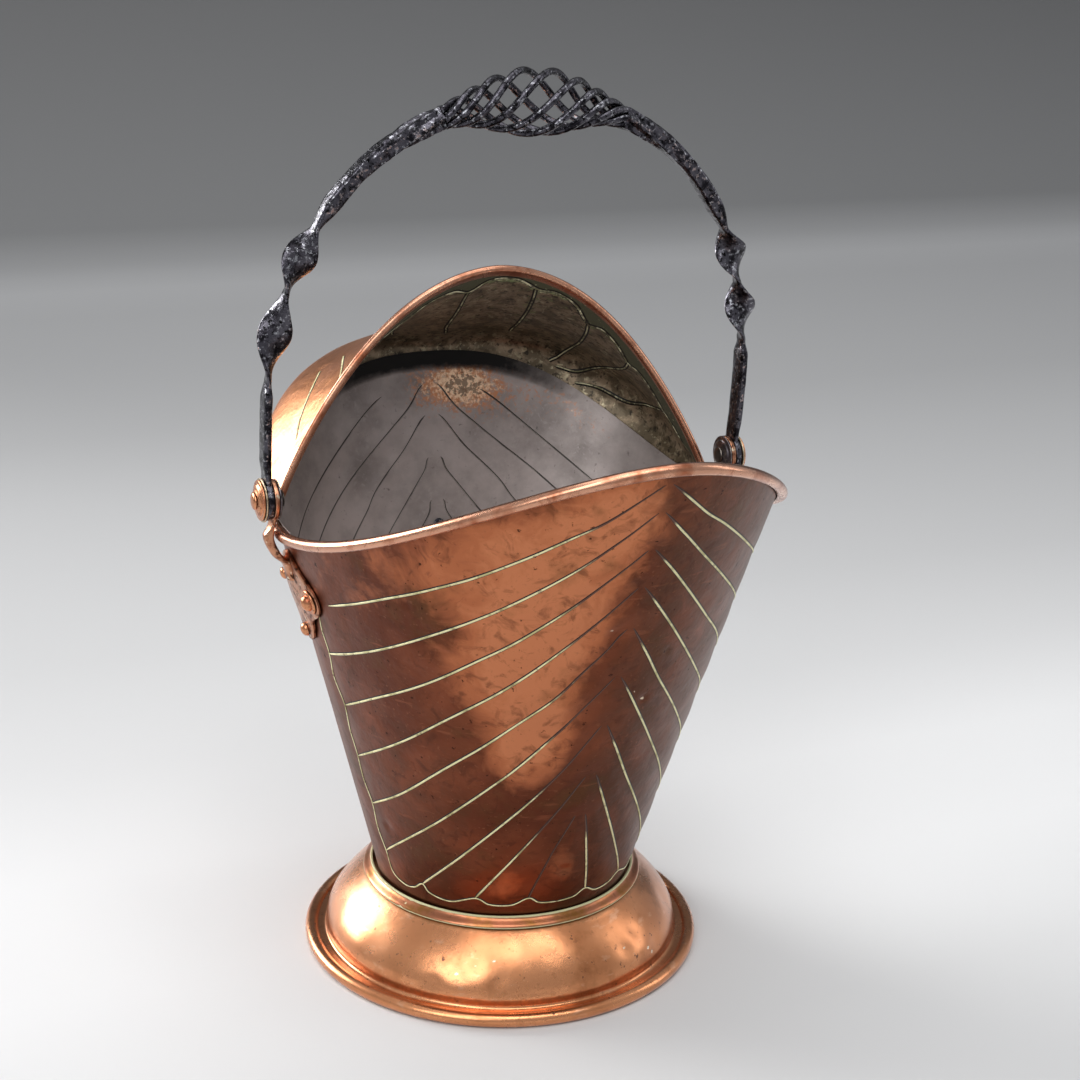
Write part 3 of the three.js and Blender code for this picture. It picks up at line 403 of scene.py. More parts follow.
def wallNormal(angle, rise):
    return surfaceNormal(wall, angle, rise)


def edgeFrame(angle):
    edge = mouthEdge(angle)
    out = wallNormal(angle, np.ones_like(angle))
    up = edge - bucketFoot(angle)
    up = unit(up - out * np.sum(up * out, -1, keepdims=True))
    return edge, out, up


def rolledEdge(edge, up, out, beadRadius, count):
    # Rows of points round the bead: its outer arc from the inner face over the top to the curl's
    # end, then back round the inside of the roll.
    centre = edge + out * (beadRadius - wallGauge)
    outer = np.radians(np.linspace(180, -115, count))
    inner = np.radians(np.linspace(-115, 180, count // 2))
    turns = np.concatenate([outer, inner])
    radii = np.concatenate([np.full(count, beadRadius), np.full(count // 2, beadRadius - wallGauge)])
    return (centre[:, None] + out[:, None] * (radii * np.cos(turns))[None, :, None]
            + up[:, None] * (radii * np.sin(turns))[None, :, None])


# Places on the wall as degrees from the lip's middle and rise from foot to mouth; both halves use them.
leaf = {
    "veins": [
        [(78, .838), (62, .856), (50, .861), (39, .866), (29, .879), (20, .897), (14, .911), (8, .935),
         (1, .968)],
        [(83.5, .697), (78, .707), (64.5, .729), (50.5, .752), (39, .770), (28.5, .793), (18, .827),
         (8.5, .872), (1, .915)],
        [(82, .557), (67, .602), (51, .638), (39, .672), (28, .704), (17, .752), (6.2, .812), (1, .843)],
        [(82, .411), (61, .484), (45, .546), (32, .592), (21, .643), (10, .708), (1, .768)],
        [(80, .275), (64, .334), (48, .410), (31.5, .484), (17.5, .556), (8, .626), (1, .684)],
        [(78.5, .135), (55, .244), (37, .336), (23, .416), (12, .492), (1, .582)],
        [(59, .076), (46, .150), (28, .258), (16, .338), (6.5, .421), (1, .474)],
        [(35.3, .062), (19, .192), (9, .284), (2, .358)],
        [(13.1, .060), (8, .157), (2, .264)],
    ],
    "border": [(83.6, .80), (84.2, .76), (83.5, .697), (84.4, .63), (82, .557), (83, .48), (82, .411),
               (82.2, .34), (80, .275), (80.8, .20), (78.5, .135), (77, .075), (70, .053), (63.8, .057),
               (59, .076), (55.5, .055), (46, .045), (35.3, .062), (29, .046), (20, .044), (13.1, .060),
               (8, .046), (0, .042)],
    "width": 1.1, "height": 0.34, "shadeWidth": 0.6, "lowerShade": 0.4, "fadeFrom": {1: 7.5, -1: 27.0},
    "thinnest": 0.3, "borderWidth": 0.8,
}
backLeaf = [  # the same leaf seen from the bucket's back: degrees from the back's middle
    [(11, .92), (24, .868), (36, .838), (52, .815), (68, .80), (78, .80)],
    [(1, .93), (6, .87), (18, .806), (37, .750), (58, .70), (78, .67)],
    [(1, .865), (7, .795), (17, .731), (24, .685), (45, .60), (78, .52)],
    [(1, .775), (3, .734), (12, .652), (30, .54), (55, .44), (78, .37)],
    [(1, .684), (3, .638), (15, .52), (36, .39), (58, .29), (78, .22)],
    [(1, .56), (10, .46), (28, .31), (50, .18), (70, .08)],
    [(1, .44), (8, .35), (20, .22), (38, .07)],
    [(1, .30), (7, .19), (14, .065)],
]


def bothSides(curves, middle=0):  # each curve and its mirror image about the middle, with the side it is on
    return [(side, [(middle + side * d, r) for d, r in knots]) for knots in curves for side in (1, -1)]


def sweepLine(surface, normalOf, knots, width, offset, spec, sign=1, count=90, fadeFrom=None):
    # A low ridge along a curve on a surface: ten points across, with a domed pale top and a flat
    # edge strip on either side that the shade mark colours as painted shade. It thins towards the
    # leaf's middle, and its ring closes under the sheet's face. The offset is a function of angle and
    # rise that gives the face's own height there.
    line = splineThrough(knots, count)
    angle, rise = np.radians(line[:, 0]), line[:, 1]
    normal = normalOf(angle, rise) * sign
    centre = surface(angle, rise) + normalOf(angle, rise) * offset(angle, rise)[:, None]
    along = unit(np.gradient(centre, axis=0))
    across = unit(np.cross(normal, along))
    across = across * np.where(across[:, 2:3] < 0, -1, 1)
    fade = 1 - smoothStep(np.abs(line[:, 0]), 1.0, fadeFrom) if fadeFrom else np.zeros(count)
    ends = np.minimum(1, np.minimum(np.arange(count), np.arange(count)[::-1]) / 3 + 0.25)
    w = width * (1 - (1 - spec["thinnest"]) * fade) * ends
    shade = spec["shadeWidth"] * ends * (1 - 0.3 * fade)
    high = spec["height"] * (1 - 0.6 * fade) * ends
    thin = shade * spec["lowerShade"]
    level = np.ones(count)
    under, flat = -0.3 * level, 0.03 * level
    columns = [(-w / 2 - thin, under), (-w / 2 - thin, flat), (-w / 2, 2 * flat), (-w * 0.42, high * 0.6),
               (-w * 0.15, high), (w * 0.2, high), (w * 0.42, high * 0.6), (w / 2, 0.08 * level),
               (w / 2 + shade, flat), (w / 2 + shade, under)]
    points = np.stack([centre + across * u[:, None] + normal * v[:, None] for u, v in columns], 1)
    shades = np.tile([1, 1, 0.9, 0, 0, 0, 0, 0.9, 1, 1], count)
    fades = np.repeat(fade, len(columns))
    return (points, loftFaces(count, len(columns))), shades, fades


def addLines(name, lines, material, body):
    shells = [shell for shell, _, _ in lines]
    marks = {"shade": np.concatenate([s for _, s, _ in lines]),
             "fade": np.concatenate([f for _, _, f in lines])}
    addPiece(name, shells, material, body, marks=marks, sharpAngle=70)


def distanceTo(points, curves):
    # For each point, the distance in mm to the nearest place on any of the curves.
    blockSize = 20000  # keeps the table of distances small
    nearest = np.full(len(points), np.inf)
    for curve in curves:
        for start in range(0, len(points), blockSize):
            block = slice(start, start + blockSize)
            gap = np.linalg.norm(points[block, None] - curve[None], axis=-1).min(1)
            nearest[block] = np.minimum(nearest[block], gap)
    return nearest


frontSheet = {"stations": 260, "outerRows": 150, "innerRows": 46, "beadRows": 20,
              "pillow": 0.45, "pillowReach": 6.0, "unevenness": 0.45, "highest": 0.45, "beadInset": 0.05,
              # degrees, rise, radius mm, depth mm
              "dents": [(-5.2, .675, 4.5, -1.0), (-7.5, .66, 3.0, .5), (11.8, .525, 2.6, -.8),
                        (15.2, .629, 1.6, -.5), (-9.2, .579, 3.2, -.7), (-0.2, .126, 3.0, -.8),
                        (-73.2, .225, 3.0, -.6), (-54.5, .838, 2.2, -.4), (-12, .60, 9, -.5),
                        (-17, .55, 11, .7), (-22, .47, 12, -.8), (-31, .40, 13, .6), (-14, .42, 12, .7),
                        (-26, .34, 10, -.6), (-8, .50, 10, -.5), (-3, .17, 13, -.9), (-20, .10, 12, -.7),
                        (-36, .15, 14, .5), (-60, .2, 16, -.5), (25, .45, 18, -.5)],
              # the bright nicks at the dents, painted as glints: degrees, rise, radius mm
              "nick_glints": [(-5.6, .683, 1.6), (-5.0, .664, 1.3), (11.8, .525, 1.9), (15.2, .629, 0.9),
                        (-0.2, .126, 1.4), (-73.2, .225, 1.1), (7.5, .545, 0.8), (12, .42, 0.7),
                        (-60, .83, .6)],
              # the rubbed zone, partly wear and partly painted light where the lamp falls on the left:
              # degrees, rise, half widths in degrees and rise, strength
              "rubbed_and_lit": [(-24, .82, 24, .20, .95), (-25, .60, 17, .17, .9), (-21, .43, 12, .10, .75),
                         (-58, .93, 24, .10, .42), (-6, .93, 12, .09, .6), (-3, .13, 9, .06, .6),
                         (-24, .10, 10, .05, .45), (-70, .60, 14, .3, .12)]}


def bells(points, spots):  # a sum of bell shapes by true distance: each has a middle, a radius and a height
    total = np.zeros(points.shape[:-1])
    for middle, radius, high in spots:
        total += high * np.exp(-np.sum((points - middle) ** 2, -1) / radius**2)
    return total


def patches(degrees, rise, spots, sharpness=1):  # oval patches in degrees and rise, with their half widths
    total = np.zeros(degrees.shape)
    for middle, share, halfDegrees, halfRise, strength in spots:
        distance = ((degrees - middle) / halfDegrees) ** 2 + ((rise - share) / halfRise) ** 2
        total += strength * np.exp(-distance**sharpness)
    return total


def wallSpot(degrees, share):
    return wall(np.array(math.radians(degrees)), np.array(share))


def surfaceCurve(surface, knots, count=160):
    line = splineThrough(knots, count)
    return surface(np.radians(line[:, 0]), line[:, 1])


def paintColumns(piece, columns, materials, slotOf):
    # faces take their material by their column in the grid; the two end caps keep the first one
    for material in materials:
        piece.data.materials.append(material)
    slots = slotOf(np.arange(len(piece.data.polygons)) % columns)
    slots[-2:] = 0
    piece.data.polygons.foreach_set("material_index", slots.astype(np.int32))


farFromVeins = 99.0


def frontLift(angle, rise, near):
    # How far the front sheet's faces stand off the straight-ruled wall, in mm: a dip along each
    # vein, soft hand-beaten waves, and the dents.
    spec = frontSheet
    here = wall(angle, rise)
    lap = bucket["frontLap"] - np.abs(np.degrees(angle))
    hold = smoothStep(rise, 0, 0.04) * smoothStep(1 - rise, 0, 0.03) * smoothStep(lap, 0, 4)
    lift = -spec["pillow"] * np.exp(-(near / spec["pillowReach"]) ** 2)
    lift += spec["unevenness"] * 0.5 * (ripple(here, 55, 3) + 0.5 * ripple(here, 24, 4))
    lift += bells(here, [(wallSpot(d, r), radius, depth) for d, r, radius, depth in spec["dents"]])
    return np.minimum(lift, spec["highest"]) * hold


def makeFrontSheet():
    spec = frontSheet
    angles = np.radians(np.linspace(-bucket["frontLap"], bucket["frontLap"], spec["stations"]))
    outerRise = np.linspace(1, 0, spec["outerRows"])
    innerRise = np.linspace(0, 1, spec["innerRows"])[:-1]
    angleGrid, riseGrid = np.meshgrid(angles, outerRise, indexing="ij")
    outer, normal = wall(angleGrid, riseGrid), wallNormal(angleGrid, riseGrid)
    curves = [surfaceCurve(wall, knots) for _, knots in bothSides(leaf["veins"] + [leaf["border"]])]
    near = distanceTo(outer.reshape(-1, 3), curves).reshape(angleGrid.shape)
    outer = outer + normal * frontLift(angleGrid, riseGrid, near)[..., None]
    place = np.meshgrid(angles, innerRise, indexing="ij")
    inside = np.minimum(frontLift(*place, farFromVeins), 0.0) - wallGauge
    inner = wall(*place) + wallNormal(*place) * inside[..., None]
    edge, out, up = edgeFrame(angles)
    bead = rolledEdge(edge, up, out, bucket["lipBead"] - spec["beadInset"], spec["beadRows"])
    points = np.concatenate([inner, bead, outer], 1)
    rows = points.shape[1]
    before = inner.shape[1] + bead.shape[1]
    marks = {mark: np.zeros((len(angles), rows)) for mark in ("polish_and_lit", "nick_glint", "painted_side_shade", "inside")}
    degrees = np.degrees(angleGrid)
    # rubbed patches, partly wear and partly painted light on the lit left side
    polish_and_lit = patches(degrees, riseGrid, spec["rubbed_and_lit"], 1.5)
    nick_glint = bells(outer, [(wallSpot(d, r), radius, 1.0) for d, r, radius in spec["nick_glints"]])
    # painted shade: the right side darkened, and the lower far left, as the light falls off
    marks["painted_side_shade"][:, before:] = (0.55 * smoothStep(degrees, -12, 12) + 0.35 * smoothStep(-degrees, 28, 50)
                                  * smoothStep(0.7 - riseGrid, 0, 0.4))
    marks["polish_and_lit"][:, before:] = np.clip(polish_and_lit, 0, 1.1)
    marks["nick_glint"][:, before:] = nick_glint
    marks["inside"][:, :inner.shape[1]] = 1
    piece = addPiece("front_sheet", [(points, loftFaces(len(angles), rows))], brownedCopper, "scuttle",
                     ["front_panel"], marks)
    paintColumns(piece, rows, (coaledCopper, rolledCopper),
                 lambda column: np.where(column < inner.shape[1], 1, np.where(column < before - 1, 2, 0)))


def veinFloor(angle, rise):
    return frontLift(angle, rise, 0.0)


def makeFrontLeaf():
    width = leaf["width"]
    lines = [sweepLine(wall, wallNormal, knots, width, veinFloor, leaf, fadeFrom=leaf["fadeFrom"][side])
             for side, knots in bothSides(leaf["veins"])]
    lines += [sweepLine(wall, wallNormal, knots, width * leaf["borderWidth"], veinFloor, leaf, count=260)
              for _, knots in bothSides([leaf["border"]])]
    addLines("front_leaf_veins", lines, paleVein, "scuttle")


makeFrontSheet()
makeFrontLeaf()
print("front sheet and its leaf made")

backSheet = {"stations": 220, "rows": 90, "outside": -wallGauge - fit, "inside": -2 * wallGauge - fit,
             "unevenness": 0.35,
             # patches rubbed to copper: degrees, rise, half widths in degrees and rise, strength
             "worn": [(174, .925, 8.5, .05, .66), (140, .95, 12, .03, .30), (167, .93, 20, .08, .34)],
             "insideLeaf": {**leaf, "width": 0.4, "height": 0.16, "shadeWidth": 0.5, "lowerShade": 0.1}}


def lapHold(angle, start, reach):  # nothing at the two side edges of a sheet round the back, all between
    degrees = np.degrees(angle)
    return smoothStep(degrees, start, start + reach) * smoothStep(360 - degrees, start, start + reach)


def backLift(angle, rise, near):  # ridges behind the veins and soft waves, in mm inwards
    hold = smoothStep(rise, 0, 0.05) * smoothStep(1 - rise, 0, 0.05) * lapHold(angle, bucket["backLap"], 7)
    waves = backSheet["unevenness"] * 0.5 * ripple(wall(angle, rise), 50, 8)
    return (0.3 * np.exp(-(near / 5.0) ** 2) + waves) * hold


def makeBackSheet():
    spec = backSheet
    lap = bucket["backLap"]
    angles = np.radians(np.linspace(lap, 360 - lap, spec["stations"]))
    rises = np.linspace(0, 1, spec["rows"])
    angleGrid, riseGrid = np.meshgrid(angles, rises, indexing="ij")
    surface, normal = wall(angleGrid, riseGrid), wallNormal(angleGrid, riseGrid)
    veins = [knots for _, knots in bothSides(backLeaf, 180)]
    curves = [surfaceCurve(wall, knots) for knots in veins]
    near = distanceTo(surface.reshape(-1, 3), curves).reshape(angleGrid.shape)
    lift = backLift(angleGrid, riseGrid, near)
    inner, outer = (surface + normal * (spec[face] - lift)[..., None] for face in ("inside", "outside"))
    points = np.concatenate([inner, outer[:, ::-1]], 1)
    degrees = np.degrees(angleGrid)
    # painted shadow: a near-black band under the hood's seam, where the hood shades the wall
    painted_seam_shadow = smoothStep(riseGrid, 0.948, 0.974) * np.exp(-(((degrees - 180) / 38) ** 2) ** 1.5)
    shown = {"inside": np.ones(lift.shape), "worn": patches(degrees, riseGrid, spec["worn"]), "painted_seam_shadow": painted_seam_shadow}
    marks = {mark: np.concatenate([values, np.zeros(lift.shape)], 1) for mark, values in shown.items()}
    addPiece("back_sheet", [(points, loftFaces(len(angles), 2 * len(rises)))], coaledCopper, "scuttle",
             ["back_panel"], marks)
    for face, kind, sign, material in (("inside", spec["insideLeaf"], -1, darkVein),
                                       ("outside", leaf, 1, paleVein)):
        def height(angle, rise):
            return spec[face] - backLift(angle, rise, 0.0)
        lines = [sweepLine(wall, wallNormal, knots, kind["width"], height, kind, sign=sign)
                 for knots in veins]
        addLines(f"back_leaf_{face}", lines, material, "scuttle")


makeBackSheet()
print("back sheet made")

hood = {"start": 94.6, "skirt": 6.0, "rimHeight": 116.0, "rimY": 17.3, "rimSetback": 6.0, "rimBase": 3.4,
        "planRoundness": 1.77, "archRoundness": 1.63, "pinch": 0.096, "backRise": 0.14, "cheekRise": 0.4,
        "upShare": 0.8, "flare": 0.58, "flareSlope": 39.0, "flareSpread": 0.4, "bead": 2.1,
        "stations": 240, "rows": 70}


def hoodRim(angle):
    # An arch standing over the bucket's middle: a superellipse whose haunches are pinched in by a
    # sine.
    side = np.abs(np.sin(angle))
    height = np.maximum(-np.cos(angle), 0)
    pinch = 1 - hood["pinch"] * np.sin(2 * np.arctan2(height, side))
    return vectors(
        np.sign(np.sin(angle)) * bucket["halfWidth"] * side ** (2 / hood["planRoundness"]) * pinch,
        hood["rimY"] - hood["rimSetback"] * (1 - height) ** 2,
        bucket["sideHeight"] + hood["rimBase"] + hood["rimHeight"] * height ** (2 / hood["archRoundness"]))


def hoodFace(angle, rise):
    # A cubic Bezier curve from the seam, along the wall's line, flaring into the rim. Below the
    # seam it follows the wall's own line down.
    foot, rim = mouthEdge(angle), hoodRim(angle)
    wallLine = unit(foot - bucketFoot(angle))
    span = np.linalg.norm(rim - foot, axis=-1, keepdims=True)
    start = span * (hood["backRise"] + hood["cheekRise"] * np.abs(np.sin(angle)))[..., None]
    leave = wallLine * hood["upShare"] + vectors(np.sin(angle), -np.cos(angle), 0) * (1 - hood["upShare"])
    slope = math.radians(hood["flareSlope"])
    arrive = unit(vectors(hood["flareSpread"] * np.sin(angle), math.cos(slope), -math.sin(slope)))
    t = np.asarray(rise, float)[..., None]
    s = np.maximum(t, 0)
    curve = ((1 - s) ** 3 * foot + 3 * (1 - s) ** 2 * s * (foot + leave * start)
             + 3 * (1 - s) * s**2 * (rim + arrive * span * hood["flare"]) + s**3 * rim)
    return np.where(t < 0, foot + wallLine * t * hood["skirt"], curve)


def hoodNormal(angle, rise):
    inside = np.clip(rise, 1e-3, 1 - 1e-3)
    normal = surfaceNormal(hoodFace, angle, inside)
    return np.where(np.asarray(rise)[..., None] < 0, wallNormal(angle, np.ones_like(inside)), normal)


hoodLeaf = {
    # the scalloped border inside the rim, with a corner where each vein starts
    "border": [(250, .60), (243, .72), (236, .83), (229, .86), (221, .845), (213, .90), (206, .915),
               (205, .90), (201, .945), (193, .95), (187, .92), (182, .965), (173, .975), (165, .95),
               (160, .965), (153, .955), (147.5, .895), (143, .93), (137, .92), (132, .872), (128, .90),
               (122, .88), (116, .815), (111, .80), (105, .70)],
    "veins": [
        [(187, .92), (186.2, .87), (182.5, .70), (178.5, .38)],
        [(166, .952), (165, .874), (164, .72), (162.8, .375)],
        [(147.5, .895), (146.6, .779), (146, .45), (147.5, .20), (150, .085)],
        [(132, .872), (132.6, .72), (136, .40), (141, .139), (148, .071)],
        [(116, .815), (120, .45), (125, .185), (135, .10), (141.8, .03)],
        [(204, .91), (203, .76), (197, .64), (190, .40)],
        [(221, .845), (220, .66), (216, .46), (210, .28)],
        [(236, .83), (234, .62), (229, .42), (222, .24)],
    ],
    "outside": [[(219, .61), (225.2, .666), (231.3, .71), (237.8, .755), (243.5, .805)],
                [(214.5, .697), (221.2, .806), (227.8, .90)],
                [(196, .60), (203, .74), (210, .88)],
                [(141, .61), (134.8, .666), (128.7, .71), (122.2, .755), (116.5, .805)],
                [(145.5, .697), (138.8, .806), (132.2, .90)],
                [(164, .60), (157, .74), (150, .88)]],
}


def hoodLift(angle, rise, near):
    hold = (smoothStep(rise, 0.02, 0.12) * smoothStep(1 - rise, 0.01, 0.08)
            * lapHold(angle, hood["start"], 6))
    return (0.5 * np.exp(-(near / 4.5) ** 2) + 0.22 * ripple(hoodFace(angle, rise), 34, 12)) * hold


def hoodInside(angle, rise):
    return -wallGauge - 1.2 * hoodLift(angle, rise, 0.0)


def hoodOutside(angle, rise):
    return -0.6 * np.abs(hoodLift(angle, rise, 0.0))


def makeHood():
    start = hood["start"]
    angles = np.radians(np.linspace(start, 360 - start, hood["stations"]))
    rises = np.concatenate([[-1, -0.6, -0.25, -0.05], np.linspace(0.02, 0.985, hood["rows"])])
    angleGrid, riseGrid = np.meshgrid(angles, rises, indexing="ij")
    surface, normal = hoodFace(angleGrid, riseGrid), hoodNormal(angleGrid, riseGrid)
    edgeOut = hoodNormal(angles, np.ones_like(angles))
    up = hoodFace(angles, np.ones_like(angles)) - hoodFace(angles, np.full_like(angles, 0.98))
    up = unit(up - edgeOut * np.sum(up * edgeOut, -1, keepdims=True))
    curves = [surfaceCurve(hoodFace, knots) for knots in hoodLeaf["veins"] + [hoodLeaf["border"]]]
    near = distanceTo(surface.reshape(-1, 3), curves).reshape(angleGrid.shape)
    curves = [surfaceCurve(hoodFace, knots) for knots in hoodLeaf["outside"]]
    nearOutside = distanceTo(surface.reshape(-1, 3), curves).reshape(angleGrid.shape)
    lift = hoodLift(angleGrid, riseGrid, near)
    outer = surface - normal * np.abs(hoodLift(angleGrid, riseGrid, nearOutside))[..., None] * 0.6
    inner = surface - normal * (wallGauge + lift * 1.2)[..., None]
    bead = rolledEdge(hoodRim(angles), up, edgeOut, hood["bead"], 16)
    points = np.concatenate([inner, bead, outer[:, ::-1]], 1)
    rows = points.shape[1]
    n = inner.shape[1]
    inside = np.concatenate([np.ones(inner.shape[:2]), np.zeros((len(angles), bead.shape[1] + n))], 1)
    borderDegrees, borderRise = splineThrough(hoodLeaf["border"][::-1], 400).T
    beyond = riseGrid - np.interp(np.degrees(angleGrid), borderDegrees, borderRise)
    green = (0.74 * smoothStep(beyond, -0.03, 0.03) + 0.16 * np.exp(-(near / 4.0) ** 2)
             + 0.22 * smoothStep(riseGrid, 0.1, 0.9))
    green = np.concatenate([green, np.zeros((len(angles), bead.shape[1] + n))], 1)
    piece = addPiece("hood_sheet", [(points, loftFaces(len(angles), rows))], hoodCopper, "scuttle",
                     ["hood"],
                     {"inside": inside, "verdigris": green})
    paintColumns(piece, rows, (rolledCopper,),
                 lambda column: np.where((column >= n - 1) & (column < n + bead.shape[1] - 1), 1, 0))
    crust = {**leaf, "height": 0.4, "shadeWidth": 0.9, "lowerShade": 1.0}
    for name, curves, width, height, kind, sign, material, count in (
            ("hood_leaf_border", [hoodLeaf["border"]], 1.5, hoodInside, crust, -1, mossyVein, 300),
            ("hood_leaf_veins", hoodLeaf["veins"], 0.8, hoodInside, crust, -1, mossyVein, 90),
            ("hood_outside_veins", hoodLeaf["outside"], 1.1, hoodOutside, leaf, 1, paleVein, 90)):
        lines = [sweepLine(hoodFace, hoodNormal, knots, width, height, kind, sign, count)
                 for knots in curves]
        addLines(name, lines, material, "scuttle")


makeHood()
print("hood made")

foot = {"radius": 107.0, "bead": 3.6, "dome": 95.0, "neck": 73.0, "height": 38.4, "flangeInner": 56.0,
        "flatHalfAngle": 24.0, "segments": 240,
        # heading in degrees from the lip towards +X, height, radius mm, depth mm
        "dents": [(-37, 20, 5, -.7), (-31, 24, 3.5, -.5), (-45, 14, 4, -.6), (-24, 17, 4, -.5),
                  (22, 21, 5, -.6), (30, 26, 3.5, -.5), (38, 16, 5, -.7), (8, 15, 7, -.5),
                  (-5, 27, 8, -.4), (-70, 20, 8, -.6), (60, 22, 7, -.6), (110, 20, 9, -.7),
                  (170, 24, 8, -.6), (215, 18, 9, -.6), (260, 22, 7, -.5)],
        # the pale spots at the dents, painted as glints: heading, height, radius mm
        "nick_glints": [(-37, 20, 1.3), (-31, 24.5, 1.0), (-25, 27, 1.2), (22, 22, 1.2), (26, 18, 1.0),
                  (33, 16, 1.0), (35, 13, 1.4)]}
footBeadMid = foot["bead"] - wallGauge / 2
footBeadHeight = footBeadMid * math.cos(math.radians(foot["flatHalfAngle"])) + wallGauge / 2


def sheetOutline(path, thickness):
    # Both faces of a sheet along a path in section: each point moved half the gauge along the
    # path's normal.
    path = np.asarray(path, float)
    tangent = np.gradient(path, axis=0)
    tangent /= np.linalg.norm(tangent, axis=-1, keepdims=True)
    normal = np.stack([-tangent[:, 1], tangent[:, 0]], -1) * thickness / 2
    return np.concatenate([path + normal, (path - normal)[::-1]])


def turned(outline, segments):
    # A closed outline of radius and height turned about Z; on-axis points are kept just off it and
    # capped by the ring.
    turn = np.linspace(0, 2 * np.pi, segments, endpoint=False)
    outline = np.asarray(outline, float)
    radius = np.maximum(outline[:, 0], 0.02)
    points = np.stack([radius[None] * np.sin(turn)[:, None], -radius[None] * np.cos(turn)[:, None],
                       np.broadcast_to(outline[:, 1], (segments, len(outline)))], -1)
    r, c = np.meshgrid(np.arange(segments), np.arange(len(outline)), indexing="ij")
    nextR, nextC = (r + 1) % segments, (c + 1) % len(outline)
    k = len(outline)
    quads = np.stack([r * k + c, nextR * k + c, nextR * k + nextC, r * k + nextC], -1)
    return points, quads.reshape(-1, 4).tolist()


def makeFoot():
    quarter = np.radians(np.linspace(0, 90, 40))
    top, low = foot["height"] - wallGauge / 2, footBeadHeight + foot["bead"] + 2
    dome = np.stack([foot["dome"] - (foot["dome"] - foot["neck"]) * (1 - np.sin(quarter) ** 1.1),
                     top - (top - low) * (1 - np.cos(quarter)) ** 0.62], -1)
    centre = foot["radius"] - foot["bead"]

    def beadPoint(turn):
        turn = np.radians(turn)
        return np.stack([centre + footBeadMid * np.cos(turn),
                         footBeadHeight + footBeadMid * np.sin(turn)], -1)

    flange = beadPoint(160.0)[1]
    half = foot["flatHalfAngle"]
    path = np.concatenate([
        [[foot["flangeInner"], top], [64.0, top]], dome,
        [[foot["dome"] - 0.05, flange + 2.6], [foot["dome"] + 0.3, flange + 1.0],
         [foot["dome"] + 1.3, flange + 0.1], [foot["dome"] + 2.6, flange - 0.1]],
        beadPoint(np.linspace(160, half - 90, 26)), beadPoint(np.linspace(-half - 90, -165, 8))])
    outline = sheetOutline(path, wallGauge)
    outline[:, 1] = np.clip(outline[:, 1], 0, foot["height"])
    outline[:, 0] = np.minimum(outline[:, 0], foot["radius"])
    points, faces = turned(outline, foot["segments"])
    flat = points

    def placeAt(degrees, height):
        row = np.argmin(np.abs(outline[:len(path), 1] - height) + 100 * (outline[:len(path), 0] < 70)
                        + 100 * (outline[:len(path), 1] < 11))
        radius = outline[row, 0]
        turn = math.radians(degrees)
        return np.array([radius * math.sin(turn), -radius * math.cos(turn), outline[row, 1]])

    lift = bells(flat, [(placeAt(d, z), radius, depth) for d, z, radius, depth in foot["dents"]])
    nick_glint = bells(flat, [(placeAt(d, z), radius, 1.0) for d, z, radius in foot["nick_glints"]])
    lift += 0.22 * (ripple(flat, 45, 21) - 1)
    hold = smoothStep(flat[..., 2], 8.5, 13) * smoothStep(foot["height"] - flat[..., 2], 0.5, 3)
    radial = unit(points * [1, 1, 0])
    points = points + radial * (lift * hold)[..., None]
    tarnish = (0.55 * np.exp(-((flat[..., 2] - 8.2) / 2.0) ** 2)
               * (np.abs(np.linalg.norm(flat[..., :2], axis=-1) - 97) < 5))
    tarnish += 0.5 * smoothStep(flat[..., 2], 34, 38.4)
    tarnish[:, len(path):] = 1.0
    addPiece("foot_dome", [(points, faces)], spunCopper, "scuttle", ["foot"],
             {"nick_glint": nick_glint, "tarnish": tarnish})


collar = {"height": 5.2, "reach": 5.6, "gauge": 1.2, "jointHeading": -66.0, "jointSlant": 4.0}


def makeCollar():
    lowRadius, highRadius = bucket["footRadius"] + collar["reach"] + 2, bucket["footRadius"] + 2.6
    low, high, gauge = foot["height"] + fit, collar["height"], collar["gauge"]
    top = np.radians(np.linspace(90, 25, 5))
    foldRound = np.stack([highRadius + gauge * 0.5 + gauge * 0.5 * np.cos(top),
                          low + high - 0.6 + 0.6 * np.sin(top)], -1)
    face = splineThrough([(highRadius + gauge, low + high - 1.0), (highRadius + 2.1, low + high * 0.62),
                          (lowRadius - 0.8, low + high * 0.33), (lowRadius - 0.15, low + 0.9),
                          (lowRadius, low + 0.35)], 14)
    outline = np.concatenate([[[highRadius, low + high - gauge], [highRadius, low + high - 0.15]],
                              foldRound, face, [[lowRadius - 0.2, low], [lowRadius - gauge, low]]])
    points, faces = turned(outline, 240)
    heading = np.degrees(np.arctan2(points[..., 0], -points[..., 1]))
    height = points[..., 2] - low
    joint = np.abs(heading - collar["jointHeading"] - collar["jointSlant"] * (height / high - 0.5)) * 1.25
    groove = np.exp(-(joint / 0.6) ** 2)
    points = points - unit(points * [1, 1, 0]) * (0.25 * groove)[..., None]
    edges = np.maximum(smoothStep(height, 3.7, 4.6), smoothStep(-height, -1.3, -0.3))
    addPiece("collar_strip", [(points, faces)], collarCopper, "scuttle", ["collar"],
             {"verdigris": np.clip(edges + groove, 0, 1)})


# A soft-soldered copper strip: pinkish, with pale green lines where it meets the sheets.
collarCopper = makeFinish("collar_strip_soldered_copper", "#b9795a", 0.28, [
    film(14, 0.48, 0.66, "#9a6a3a", 0.32),
    film(5, 0.6, 0.72, "#6a4a30", 0.4, amount=0.6),
    film(4, 0.8, 1.15, "#c9c79c", 0.55, mark="verdigris", ragged=0.5, metallic=0.15),
], bumps=[(8, 0.15), (2, 0.03)])
makeFoot()
makeCollar()
print("foot and collar made")

